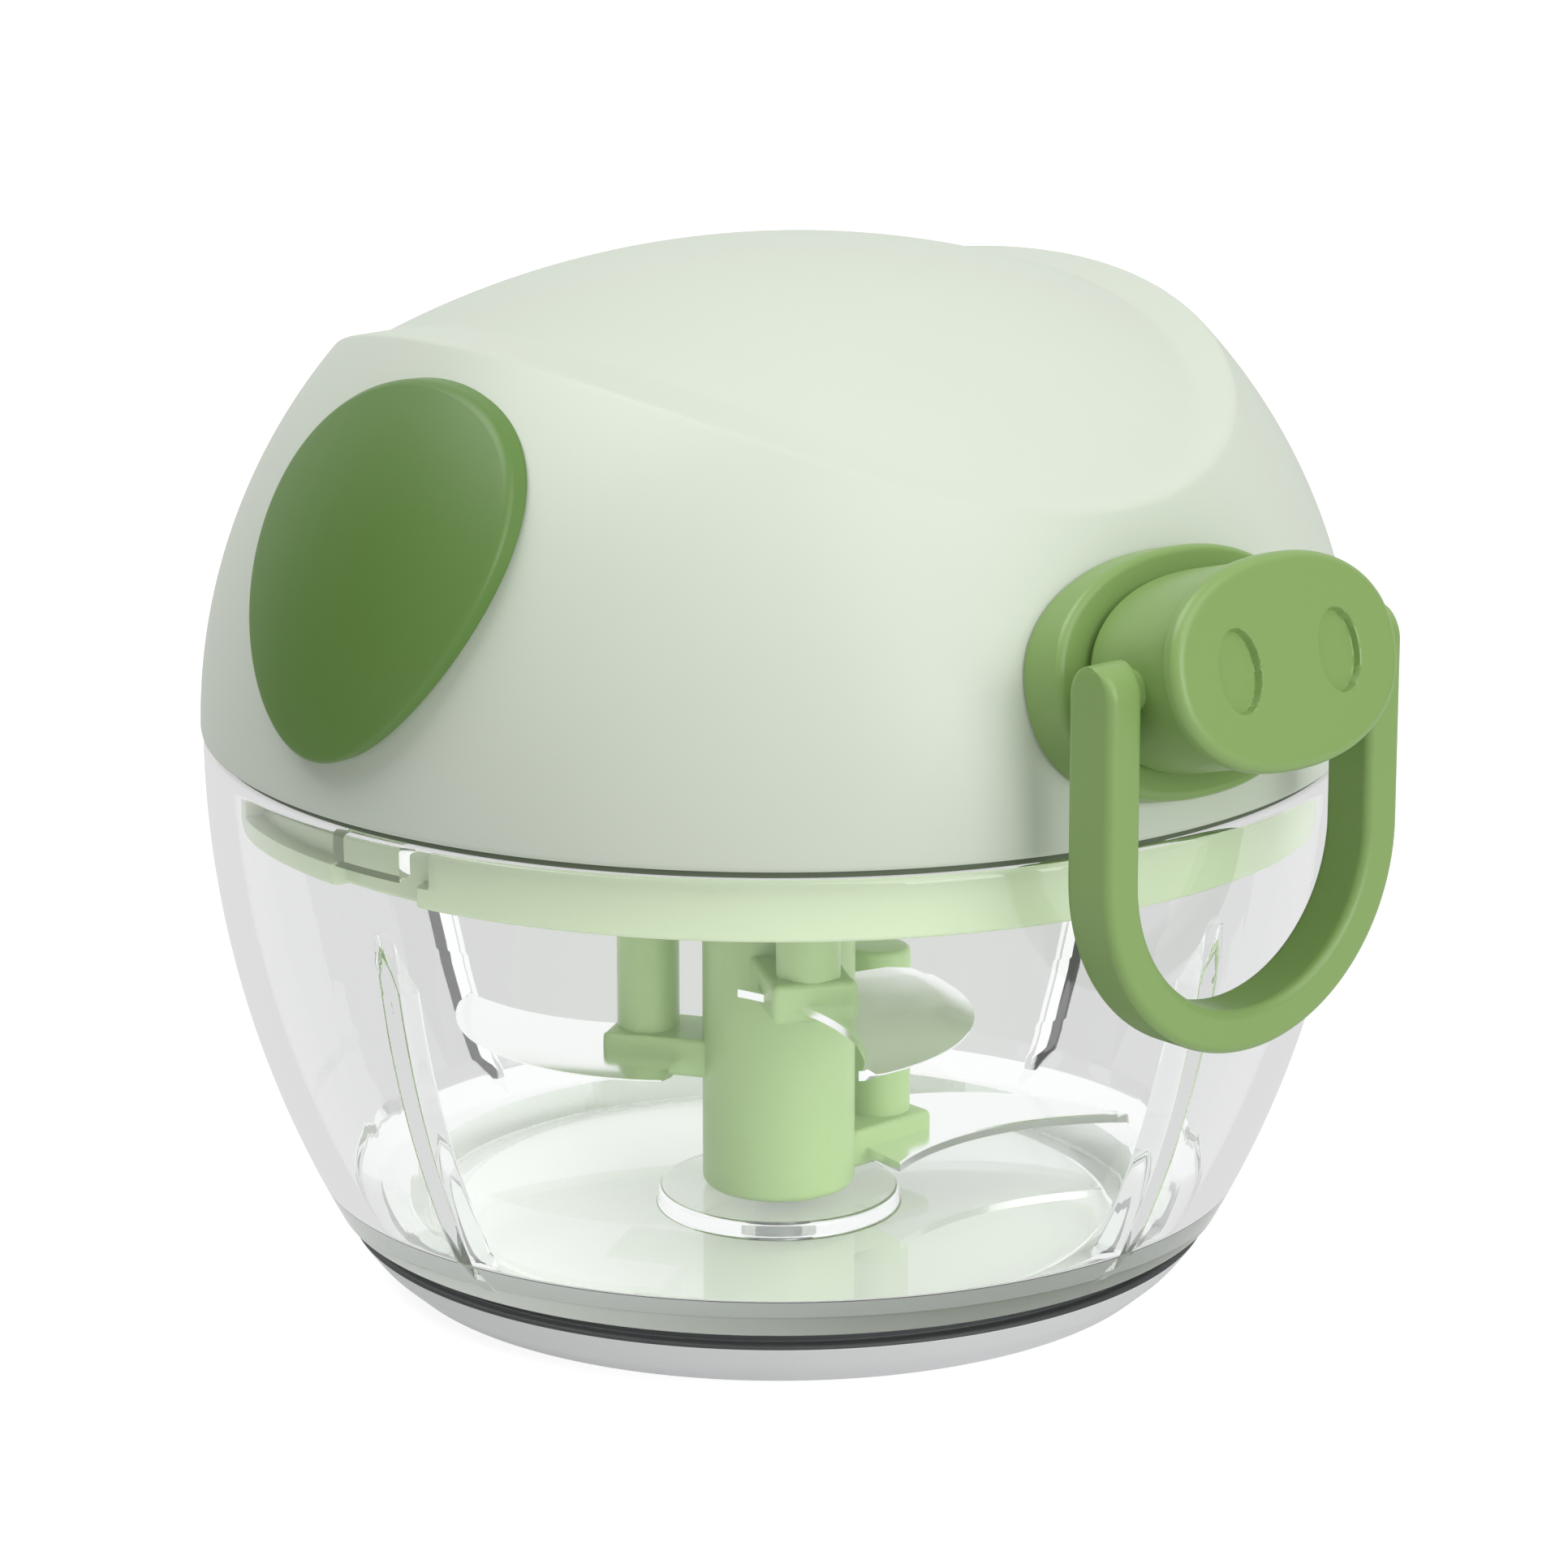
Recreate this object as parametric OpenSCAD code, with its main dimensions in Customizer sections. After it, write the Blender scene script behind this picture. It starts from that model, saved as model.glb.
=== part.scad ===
// Hand chopper with a pull cord: clear bowl, domed lid with a cord reel, three blades, snout-shaped knob.
// Front (the knob) is -Y, the two ear pads are at -X and +X, the underside of the foot is z = 0.

/* [Bowl] */
// Outer radius of the bowl at its rim
bowl_r = 46.6; // [44:0.1:50]
// Height of the bowl's rim above the table
bowl_h = 45; // [42:0.5:50]
// Radius of the bowl's bowed side, seen from the side
bowl_bow = 82; // [76:1:110]
// Wall thickness of the bowl
bowl_wall = 2.2; // [1.8:0.1:2.6]
// Height of the bowl's floor above the table
floor_z = 4.4; // [4:0.1:5.5]
// Radius of the flat part of the floor
floor_r = 27; // [24:0.5:29]
// Rise of the sloping border round the floor
floor_rise = 4.4; // [3:0.1:5]
// Radius of the raised boss in the middle of the floor
boss_r = 10; // [8:0.5:12]
// Height of that boss
boss_h = 1.4; // [1:0.1:1.6]
// Thickness of the four upright ribs
rib_t = 1.4; // [1:0.1:2]
// Depth of the ribs
rib_depth = 2.4; // [1.6:0.1:2.6]
// Top of the ribs below the rim
rib_drop = 8; // [7:0.5:14]
// Radius of the steel pivot pin
pin_r = 2; // [1.5:0.1:2.5]
// Height of the pin above the floor
pin_h = 11.6; // [8:0.1:13]

/* [Foot] */
// Radius of the foot on the table
foot_r = 31.6; // [29:0.1:33]
// Height of the foot's outer edge
foot_h = 4.3; // [3.6:0.1:4.8]
// Thickness of the foot under the bowl
foot_t = 1.2; // [0.8:0.1:1.8]
// Height of the dark groove between foot and bowl
groove_h = 1.2; // [0.8:0.1:1.6]
// Depth of that groove
groove_d = 1.3; // [0.8:0.1:1.8]

/* [Lid] */
// How far the lid stands out past the bowl's rim
lid_over = 0.2; // [0:0.05:0.6]
// Thickness of the gasket under the lid
gasket_t = 0.6; // [0.4:0.1:1]
// Wall thickness of the lid
lid_wall = 2.2; // [1.8:0.1:2.6]
// Step from the ear corners up to the crown's top
ridge_step = 4.5; // [3.5:0.1:5.5]
// Radius of the bowed ridge, seen from the side
ridge_bow = 83.6; // [76:0.1:95]
// How far the crown's top lies below the full dome
crown_low = 7.9; // [6:0.1:9]
// How much wider than the dome the crown bows from front to back
crown_flat = 14.2; // [9:0.1:18]
// Radius of the crown from ear to ear
crown_bow_x = 80; // [72:1:95]
// Half width of an ear pad
pad_w = 13.3; // [11:0.1:14]
// Half height of an ear pad
pad_hh = 13.9; // [12:0.1:14.2]
// Height of the pad's middle above the lid's edge
pad_mid = 18.6; // [17:0.1:19]
// Narrowing of the pad towards its lower tip
pad_taper = 0.22; // [0:0.01:0.3]
// How far the ear pads sit forward of the middle
pad_fwd = 1.1; // [0:0.1:2]
// How far a pad stands proud
pad_proud = 1.7; // [1:0.1:2.4]
// How deep a pad sits in the lid
pad_seat = 0.8; // [0.5:0.1:1.2]

/* [Collar and bayonet] */
// Depth of the collar below the lid's edge
collar_drop = 6; // [5.5:0.1:8]
// Thickness of the collar
collar_t = 2.4; // [2:0.1:3]
// Thickness of the lid's lower plate
plate_t = 2; // [1.6:0.1:2.4]
// Length of a bayonet lug
lug_len = 6.8; // [5:0.1:9]
// Height of a bayonet lug
lug_h = 2.4; // [1.8:0.1:2.8]
// How far a lug stands into the bowl
lug_in = 1.4; // [1.2:0.1:1.6]
// Turn that locks the lid, in degrees
twist = 20; // [15:1:25]

/* [Knob and ring] */
// Upward tilt of the knob, in degrees
snout_tilt = 15; // [10:1:18]
// Half width of the guide's oval flange
guide_w = 13.5; // [12.6:0.1:15]
// Half height of the guide's oval flange
guide_hh = 9.5; // [8.8:0.1:10.5]
// Radius of the guide's neck through the lid
guide_neck = 5.5; // [4:0.1:7]
// How far the flange's face stands past the lid
guide_proud = 2.2; // [1.8:0.1:2.6]
// Half width of the knob's cup
cup_w = 11.1; // [10.4:0.1:11.6]
// Half height of the knob's cup
cup_hh = 7.6; // [7:0.1:8]
// Length of the cup
cup_len = 8.7; // [8:0.1:10]
// Wall thickness of the cup
cup_wall = 2.6; // [2.2:0.1:2.8]
// Thickness of the cap
cap_t = 1.6; // [1.2:0.1:2.4]
// Overhang of the cap round the cup
cap_over = 0.5; // [0.3:0.1:0.8]
// Width of a nostril dimple
nostril_w = 4.2; // [3:0.1:4.8]
// Height of a nostril dimple
nostril_h = 6.5; // [5:0.1:7.5]
// Distance between the nostrils
nostril_gap = 10.4; // [9.6:0.1:11]
// Depth of a nostril
nostril_d = 0.6; // [0.3:0.1:0.8]
// Width of the ring's band
ring_t = 3.4; // [2.8:0.1:4]
// Depth of the ring's band
ring_d = 4.8; // [4.4:0.1:5]
// Straight length of the ring's arms
ring_arm = 14.1; // [12:0.1:20]
// Radius of the ring's pivot studs
stud_r = 1.6; // [1.2:0.1:1.8]

/* [Reel] */
// Radius of the cord drum
drum_r = 15; // [14:0.1:16]
// Rim of the drum's flanges past the drum
drum_rim = 5; // [4:0.1:6]
// Width of the drum between its flanges
drum_w = 9.4; // [8:0.1:11]
// Thickness of the flanges
rim_t = 1.5; // [1.2:0.1:2]
// Diameter of the cord
cord_d = 1.7; // [1.2:0.1:2]
// Turns of the rewind spring
spring_turns = 6; // [3:1:8]
// Thickness of the spring's strip
spring_t = 0.45; // [0.3:0.05:0.6]
// Radius of the fixed spindle
spindle_r = 3; // [2.5:0.1:3.4]
// Radius of the drive shaft
shaft_r = 4; // [3.6:0.1:4.2]

/* [Blades] */
// Radius of the blade hub
hub_r = 6.3; // [6:0.1:7.5]
// Reach of the blade tips
blade_reach = 31.6; // [28:0.1:31.8]
// Thickness of a blade
blade_t = 0.8; // [0.6:0.1:1.2]
// Radius of a blade's rounded belly
belly_r = 19; // [18.4:0.1:19.6]
// Radius of a blade's hollow edge
back_r = 21; // [20:0.1:22]
// Height of the lowest blade's arm above the table
lower_z = 6.6; // [6.4:0.1:8]
// Step up from one blade's arm to the next
blade_step = 8.7; // [7:0.1:8.8]
// Height of an arm's block
arm_h = 3.2; // [2.6:0.1:4]
// Width of an arm's block
arm_w = 7; // [6:0.1:8]
// Reach of an arm's block
arm_reach = 14.3; // [13.5:0.1:15]
// Radius of an arm's upright post
post_r = 2.6; // [2:0.1:2.9]

/* [Hidden] */
$fn = 96;

// Clearances
fit = 0.03;        // two pieces pressed or glued together
run = 0.05;        // a pin turning in its bore
clear = 0.3;       // two pieces that move past each other
loose = 0.6;       // collar in bowl
over = 1;          // how far a cutter passes the face it cuts
big = 200;         // larger than anything here
sides = 64;        // sides of an outline made of points
fullness = 0.9;    // exponent of the oval flange
end_round = 0.76;  // end radius of an oval, as a share of its half height

// Heights
lid_z = bowl_h + gasket_t;
shoulder_z = foot_h + groove_h;
boss_z = floor_z + boss_h;
hub_z = boss_z + clear;
pin_seat = 2;
plate_z = lid_z - plate_t;
collar_z = lid_z - collar_drop;

// Radii of the bowl, lid and collar
bowl_in = bowl_r - bowl_wall;
dome_r = bowl_r + lid_over;
dome_in = dome_r - lid_wall;
crown_h = dome_r - crown_low;
crown_bow = dome_r + crown_flat;
ridge_h = crown_h - ridge_step;
collar_r = bowl_in - loose;
collar_in = collar_r - collar_t;
neck_r = foot_r - loose;
foot_flare = side_r(foot_h);

// Ribs: top, length of the slanted top and angle of the first
rib_top = bowl_h - rib_drop;
rib_lead = 5;
rib_a = 7;

// Bayonet: lug and slot
lug_a = 5;
lug_z = collar_z + clear + collar_drop / 2 - lug_h / 2;
lug_r = bowl_in - lug_in;
slot_r = lug_r - clear;
lug_half = asin(lug_len / 2 / bowl_in);

// Reel stack above the lower plate
bush_rise = 3.4;
hub_boss_z = lid_z + bush_rise;
clutch_z = hub_boss_z + clear;
clutch_t = 1.6;
pawl_z = clutch_z + clutch_t + clear;
pawl_h = 3;
spool_z = clutch_z;
web_z = pawl_z + pawl_h + 2 * clear;
web_t = 1.6;
spool_top = spool_z + drum_w + 2 * rim_t;
cover_t = 1.2;
ceiling_z = spool_top + cover_t + clear;
spindle_z = pawl_z;
spindle_seat = 9;
spindle_boss_t = 3;
spindle_len = ceiling_z - spindle_z + spindle_seat;
drum_t = 4;
ratchet_r = drum_r - drum_t;
tooth_d = 1;
tooth_n = 12;
tooth_lean = 2;
spring_wall = 1.8;
spring_room = drum_r - spring_wall;
rim_r = drum_r + drum_rim;
disc_r = ratchet_r - tooth_d - clear;
pawl_pin_r = 1;
pawl_w = 1.2;
pawl_len = 5.6;
pawl_a = 78;
pawl_orbit = disc_r - pawl_pin_r - pawl_w - clear;

// Arm angles, counted from +X towards +Y, each blade's lead on its arm, and the middles of a blade's two arcs
lower_a = 1;
middle_a = lower_a + 120;
upper_a = lower_a + 240;
lower_lead = -9;
middle_lead = 0;
upper_lead = 14;
belly_in = 19.3;
belly_off = 9.9;
back_in = 13.1;
back_off = 25;
root_gap = 1;
middle_z = lower_z + blade_step;
upper_z = middle_z + blade_step;
post_edge = 0.3;
post_drop = 1.5;

// Shaft and hub
bush_t = 2;
bush_r = shaft_r + bush_t;
bush_boss_r = bush_r + bush_t;
bush_z = plate_z - plate_t;
hub_top = bush_z - clear;
hex_r = shaft_r - 2 * run;
hex_z = upper_z + root_gap / 2;

// Knob, measured along its tilted axis from the dome's centre
guide_face = dome_r + guide_proud;
clip_rim = 3;
clip_w = guide_neck + clip_rim;
clip_hh = guide_neck + clip_rim - clear;
clip_t = 1.2;
clip_face = sqrt(dome_in * dome_in - clip_w * clip_w) - clear;
guide_back = clip_face - clip_t - clear;
cup_back = guide_face + clear;
cup_front = cup_back + cup_len;
cup_floor = 3;
cap_front = cup_front + cap_t;
pivot_gap = 2.3;
pivot_at = cup_back + ring_d / 2 + pivot_gap;
ring_gap = 0.4;
ring_in = cup_w + cap_over + ring_gap;
stud_len = 3;
ring_out = ring_in + ring_t;
pivot = [0, -pivot_at * cos(snout_tilt), lid_z + pivot_at * sin(snout_tilt)];
plug = 1.4;
knot_r = (cup_len - cup_floor - plug - clear) / 2;
knot_at = cup_back + cup_floor + knot_r;
cord_hole_r = cord_d / 2 + clear;

// Screws in the lid
screw_in = 11;
screw_orbit = dome_r - screw_in;
screw_r = 1.3;
screw_head_r = 2.6;
screw_head_h = 1.2;
screw_len = 9;
boss_screw_r = 3.2;

// Cord line from drum to guide
wind_r = drum_r + cord_d / 2 + run;
cord_z = spool_z + rim_t + drum_w / 2;
eye = [0, -guide_back * cos(snout_tilt), lid_z + guide_back * sin(snout_tilt)];
leave_a = acos(wind_r / guide_back / cos(snout_tilt));
leave = [wind_r * sin(leave_a), -wind_r * cos(leave_a), cord_z];
clear_of_turns = sqrt(pow(drum_r + run + cord_d + clear, 2) - pow(drum_r + run, 2));
start = leave + (eye - leave) * clear_of_turns / norm(eye - leave);
snout_axis = [0, -cos(snout_tilt), sin(snout_tilt)];
knot_end = [0, 0, lid_z] + snout_axis * (cup_back + cup_floor);
cord_sides = 8;

// Radius of the bowl's outside at height z
function side_r(z) = bowl_r - bowl_bow + sqrt(bowl_bow * bowl_bow - (bowl_h - z) * (bowl_h - z));
// Point on a spiral of n turns from radius a to radius b
function spiral(t, n, a, b) = let (r = a + (b - a) * t, w = 360 * n * t) [r * cos(w), r * sin(w)];
// Points round an oval of half width w and half height h, a little fuller than an ellipse
function oval_points(w, h) = [for (i = [1 : sides]) let (c = cos(360 * i / sides), s = sin(360 * i / sides))
                              [w * sign(c) * pow(abs(c), fullness), h * sign(s) * pow(abs(s), fullness)]];
// Ring of points of radius r round p, square to d
function ring(p, d, r) =
  let (z = d / norm(d), x = cross(z, [0, 0, 1]) / norm(cross(z, [0, 0, 1])), y = cross(x, z))
  [for (k = [0 : cord_sides - 1]) p + r * (cos(360 * k / cord_sides) * x - sin(360 * k / cord_sides) * y)];
// Point at distance r and angle a
function polar(r, a) = [r * cos(a), r * sin(a)];

// Shared shapes

module cylinder_at(z0, z1, r) { translate([0, 0, z0]) cylinder(h = z1 - z0, r = r); }

// Oval of four arcs with half width w and half height h
module oval(w, h) {
  e = end_round * h;
  r = ((w - e) * (w - e) + h * h - e * e) / (2 * (h - e));
  x = (w - e) * r / (r - e);
  for (s = [-1, 1]) translate([s * (w - e), 0]) circle(e);
  intersection() {
    translate([0, h - r]) circle(r);
    translate([0, r - h]) circle(r);
    square([2 * x, 2 * h], center = true);
  }
}

// Frame of the knob: x across, y up the face, z outwards along the tilted axis
module on_snout(at) {
  translate([0, 0, lid_z]) rotate([90 - snout_tilt, 0, 0]) translate([0, 0, at]) children();
}

// Solid inside the bowl's bowed side, inset by d, from z0 to z1
module bowed(d, z0, z1) {
  rotate_extrude() intersection() {
    translate([bowl_r - bowl_bow, bowl_h]) circle(bowl_bow - d);
    translate([0, z0]) square([big, z1 - z0]);
  }
}

// Solid under the crown, inset by d
module crown(d) {
  translate([0, 0, lid_z + crown_h - crown_bow]) rotate([0, 90, 0]) rotate_extrude() intersection() {
    translate([crown_bow - crown_bow_x, 0]) circle(crown_bow_x - d);
    translate([0, -big / 2]) square(big);
  }
}

// Solid under the bowed ridge
module ridge() {
  translate([0, 0, lid_z + ridge_h - ridge_bow]) rotate([0, 90, 0])
    cylinder(h = big, r = ridge_bow, center = true);
}

// Ball of the dome
module ball(r) { translate([0, 0, lid_z]) sphere(r, $fn = 2 * $fn); }

// Egg outline of an ear pad, grown by g
module pad_outline(g) {
  polygon([for (i = [1 : sides]) let (t = 360 * i / sides)
           [(pad_w + g) * sin(t) * (1 + pad_taper * cos(t)), (pad_hh + g) * cos(t)]]);
}

// Prism of that outline, out towards +X for a = 0 and -X for a = 180
module pad_prism(a, g) {
  translate([0, -pad_fwd, lid_z + pad_mid]) rotate([0, 0, a]) rotate([90, 0, 90])
    linear_extrude(big) pad_outline(g);
}

module ear_pad(a) {
  intersection() {
    difference() {
      ball(dome_r + pad_proud);
      ball(dome_r - pad_seat + fit);
    }
    pad_prism(a, 0);
  }
}

// Ring of lugs or slots: a sector of a ring between two radii
module sector(r0, r1, z0, z1, a0, a1) {
  rotate([0, 0, a0]) translate([0, 0, z0]) rotate_extrude(angle = a1 - a0)
    translate([r0, 0]) square([r1 - r0, z1 - z0]);
}

module at_screws() { for (a = [45 : 90 : 315]) rotate([0, 0, a]) translate([screw_orbit, 0, 0]) children(); }

// Sickle outline of a blade along +X, grown by g
module blade_outline(g) {
  intersection() {
    difference() {
      translate([blade_reach - belly_in, -belly_off]) circle(belly_r + g);
      translate([blade_reach - back_in, -back_off]) circle(back_r - g);
    }
    circle(blade_reach);
    translate([hub_r + root_gap - g, -blade_reach]) square([big, 2 * blade_reach]);
  }
}

module blade(a, z, g = 0) {
  translate([0, 0, z + blade_t - g]) rotate([0, 0, a]) linear_extrude(blade_t + 2 * g) blade_outline(g);
}

// Block of one blade arm and its upright post, up to the height top
module arm(a, z, top) {
  rotate([0, 0, a]) {
    translate([0, -arm_w / 2, z]) cube([arm_reach, arm_w, arm_h]);
    translate([arm_reach - post_r - post_edge, 0, z]) cylinder(h = top - z, r = post_r);
  }
}

// Bowl

module bowl() {
  color([0.93, 0.95, 0.95, 0.35]) difference() {
    union() {
      difference() {
        union() {
          bowed(0, shoulder_z, bowl_h);
          cylinder_at(foot_t, shoulder_z + over, neck_r);
        }
        cavity();
      }
      cylinder_at(foot_t, boss_z, boss_r);
      intersection() {
        difference() {
          bowed(bowl_wall / 2, shoulder_z, rib_top - over);
          bowed(bowl_wall + rib_depth, 0, bowl_h);
          translate([0, 0, rib_top - rib_lead])
            cylinder(h = rib_lead, r1 = side_r(rib_top - rib_lead) - bowl_wall - rib_depth,
                     r2 = side_r(rib_top));
        }
        for (a = [rib_a, rib_a + 90]) rotate([0, 0, a]) cube([big, rib_t, big], center = true);
      }
      for (a = [lug_a, lug_a + 180])
        sector(lug_r, bowl_in + bowl_wall / 2, lug_z, lug_z + lug_h, a - lug_half, a + lug_half);
    }
    cylinder_at(floor_z - pin_seat, boss_z + over, pin_r + fit);
  }
}

// Inside of the bowl above its floor
module cavity() {
  rise_r = floor_r + 2 * floor_rise;
  rotate_extrude() intersection() {
    translate([bowl_r - bowl_bow, bowl_h]) circle(bowl_bow - bowl_wall);
    polygon([[0, floor_z], [floor_r, floor_z], [rise_r, floor_z + floor_rise],
             [big, floor_z + floor_rise], [big, big], [0, big]]);
  }
}

module base_pad() {
  color([0.82, 0.83, 0.83]) rotate_extrude()
    polygon([[0, 0], [foot_r, 0], [foot_flare, foot_h], [foot_flare - groove_d, foot_h],
             [foot_flare - groove_d, shoulder_z], [neck_r + fit, shoulder_z],
             [neck_r + fit, foot_t], [0, foot_t]]);
}

module pivot_pin() {
  color("silver") cylinder_at(floor_z - pin_seat, floor_z + pin_h, pin_r);
}

module lid_gasket() {
  color([0.25, 0.28, 0.25]) difference() {
    cylinder_at(bowl_h, lid_z, bowl_r - loose);
    cylinder_at(bowl_h - over, lid_z + over, collar_r + clear);
  }
}

// Lid

module lid_shell() {
  color([0.80, 0.85, 0.78]) difference() {
    union() {
      difference() {
        dome_solid();
        intersection() {
          ball(dome_in);
          crown(lid_wall);
        }
      }
      intersection() {
        union() {
          at_screws() cylinder_at(lid_z, big, boss_screw_r);
          cylinder_at(ceiling_z, big, spindle_r + spindle_boss_t);
        }
        dome_solid();
      }
    }
    cylinder_at(0, lid_z, big);
    at_screws() cylinder_at(lid_z - over, lid_z + screw_len, screw_r + run);
    cylinder_at(ceiling_z - over, spindle_z + spindle_len + clear, spindle_r + fit);
    on_snout(guide_back) cylinder(h = big, r = guide_neck + fit);
    for (a = [0, 180]) difference() {
      pad_prism(a, fit);
      ball(dome_r - pad_seat);
    }
  }
}

// Outside of the dome: crown and raised ear corners
module dome_solid() {
  intersection() {
    ball(dome_r);
    union() {
      crown(0);
      ridge();
    }
    cylinder_at(lid_z, big, big);
  }
}

module left_ear_pad() { color([0.40, 0.55, 0.27]) ear_pad(180); }

module right_ear_pad() { color([0.40, 0.55, 0.27]) ear_pad(0); }

module lower_cover() {
  skirt_r = dome_in - loose;
  skirt_h = 2.4;
  skirt_t = 1.8;
  play = 1.5;
  color([0.71, 0.80, 0.59]) difference() {
    rotate_extrude() polygon([
      [bush_r + fit, bush_z], [bush_boss_r, bush_z], [bush_boss_r, plate_z], [collar_in, plate_z],
      [collar_in, collar_z], [collar_r, collar_z], [collar_r, lid_z], [skirt_r, lid_z],
      [skirt_r, lid_z + skirt_h], [skirt_r - skirt_t, lid_z + skirt_h], [skirt_r - skirt_t, lid_z],
      [bush_boss_r, lid_z], [bush_boss_r, hub_boss_z], [bush_r + fit, hub_boss_z]]);
    at_screws() {
      cylinder_at(collar_z, plate_z + screw_head_h, screw_head_r + clear);
      cylinder_at(plate_z, lid_z + over, screw_r + run);
    }
    for (a = [lug_a, lug_a + 180]) {
      sector(slot_r - fit, collar_r + over, collar_z - over, lug_z + lug_h / 2,
             a - lug_half - play, a + lug_half + play);
      sector(slot_r, collar_r + over, lug_z - clear, lug_z + lug_h + clear,
             a - lug_half - twist - play, a + lug_half + 2 * play);
    }
  }
}

module cord_guide() {
  flange_t = guide_face - sqrt(dome_r * dome_r - guide_w * guide_w) + over;
  color([0.55, 0.68, 0.39]) difference() {
    union() {
      difference() {
        on_snout(guide_face - flange_t) linear_extrude(flange_t) polygon(oval_points(guide_w, guide_hh));
        ball(dome_r + fit);
      }
      on_snout(guide_back) cylinder(h = guide_face - guide_back - clear, r = guide_neck);
    }
    on_snout(0) cylinder(h = big, r = cord_hole_r);
  }
}

module guide_clip() {
  color([0.62, 0.64, 0.62]) difference() {
    on_snout(clip_face - clip_t) linear_extrude(clip_t) oval(clip_w, clip_hh);
    on_snout(0) cylinder(h = big, r = guide_neck + fit);
  }
}

module cover_screws() {
  color("silver") at_screws() {
    cylinder_at(plate_z + run, plate_z + screw_head_h, screw_head_r);
    cylinder_at(plate_z + run, lid_z + screw_len - clear, screw_r);
  }
}

module shaft_bush() {
  color([0.75, 0.62, 0.35]) difference() {
    cylinder_at(bush_z, hub_boss_z, bush_r);
    cylinder_at(bush_z - over, hub_boss_z + over, shaft_r + run);
  }
}

module spindle() { color("silver") cylinder_at(spindle_z, spindle_z + spindle_len, spindle_r); }

// Cord from the drum to the guide's eye, then out along the knob's axis to the knot
module cord_run() {
  route = [start, eye, knot_end];
  heading = [eye - start, (eye - start) / norm(eye - start) + snout_axis, snout_axis];
  rings = [for (i = [0 : 2]) each ring(route[i], heading[i], cord_d / 2)];
  caps = [[for (k = [cord_sides - 1 : -1 : 0]) k], [for (k = [0 : cord_sides - 1]) k + 2 * cord_sides]];
  walls = [for (i = [0, 1], k = [0 : cord_sides - 1]) let (a = i * cord_sides, n = (k + 1) % cord_sides)
           each [[a + k, a + n, a + n + cord_sides], [a + k, a + n + cord_sides, a + k + cord_sides]]];
  color([0.94, 0.94, 0.92]) polyhedron(rings, concat(caps, walls));
}

// Reel

module spool() {
  color([0.90, 0.90, 0.88]) difference() {
    union() {
      cylinder_at(spool_z, spool_top, drum_r);
      for (z = [spool_z, spool_top - rim_t]) cylinder_at(z, z + rim_t, rim_r);
    }
    translate([0, 0, spool_z - over]) linear_extrude(web_z - spool_z + over) ratchet();
    cylinder_at(web_z + web_t, spool_top + over, spring_room);
    cylinder_at(spool_z, spool_top, spindle_r + run);
  }
}

// Saw-toothed inside of the spool's ratchet
module ratchet() {
  step = 360 / tooth_n;
  polygon([for (i = [0 : tooth_n - 1]) each [
    polar(ratchet_r - tooth_d, i * step), polar(ratchet_r, i * step + tooth_lean),
    polar(ratchet_r - tooth_d / 2, (i + 0.5) * step)]]);
}

module wound_cord() {
  color([0.94, 0.94, 0.92]) difference() {
    cylinder_at(spool_z + rim_t + fit, spool_top - rim_t - fit, drum_r + run + cord_d);
    cylinder_at(spool_z, spool_top, drum_r + run);
  }
}

module rewind_spring() {
  steps = 24 * spring_turns;
  inner = spindle_r + 2 * run;
  outer = spring_room - spring_t - run;
  in_side = [for (i = [0 : steps]) spiral(i / steps, spring_turns, inner, outer)];
  out_side = [for (i = [steps : -1 : 0]) spiral(i / steps, spring_turns, inner + spring_t, outer + spring_t)];
  z0 = web_z + web_t + fit;
  color([0.55, 0.57, 0.60]) translate([0, 0, z0]) linear_extrude(spool_top - z0 - fit)
    polygon(concat(in_side, out_side));
}

module spring_cover() {
  color([0.90, 0.90, 0.88]) difference() {
    cylinder_at(spool_top, spool_top + cover_t, rim_r - drum_rim / 2);
    cylinder_at(spool_top - over, spool_top + cover_t + over, spindle_r + clear);
  }
}

// Rotor

module drive_shaft() {
  color("silver") {
    cylinder_at(hub_top, clutch_z + clutch_t, shaft_r);
    cylinder_at(clutch_z, clutch_z + clutch_t, disc_r);
    for (s = [-1, 1]) translate([s * pawl_orbit, 0, 0]) cylinder_at(clutch_z, pawl_z + pawl_h, pawl_pin_r);
    translate([0, 0, hex_z + clear]) cylinder(h = hub_top - hex_z, r = hex_r, $fn = 6);
  }
}

module clutch_pawls() {
  color([0.85, 0.75, 0.40]) for (s = [0, 180]) rotate([0, 0, s])
    translate([pawl_orbit, 0, pawl_z - clear + fit]) linear_extrude(pawl_h) difference() {
      union() {
        circle(pawl_pin_r + pawl_w);
        rotate(pawl_a) translate([0, -pawl_w / 6]) square([pawl_len, pawl_w]);
      }
      circle(pawl_pin_r + run);
    }
}

module blade_hub() {
  color([0.71, 0.80, 0.59]) difference() {
    union() {
      cylinder_at(hub_z, hub_top, hub_r);
      arm(lower_a, lower_z, upper_z);
      arm(middle_a, middle_z, hub_top - post_drop);
      arm(upper_a, upper_z, hub_top - post_drop);
    }
    cylinder_at(0, floor_z + pin_h + over, pin_r + run);
    translate([0, 0, hex_z]) cylinder(h = big, r = hex_r + run, $fn = 6);
    blade(lower_a + lower_lead, lower_z, fit);
    blade(middle_a + middle_lead, middle_z, fit);
    blade(upper_a + upper_lead, upper_z, fit);
  }
}

module upper_blade() { color([0.88, 0.90, 0.90]) blade(upper_a + upper_lead, upper_z); }

module middle_blade() { color([0.88, 0.90, 0.90]) blade(middle_a + middle_lead, middle_z); }

module lower_blade() { color([0.88, 0.90, 0.90]) blade(lower_a + lower_lead, lower_z); }

// Knob and ring

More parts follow.
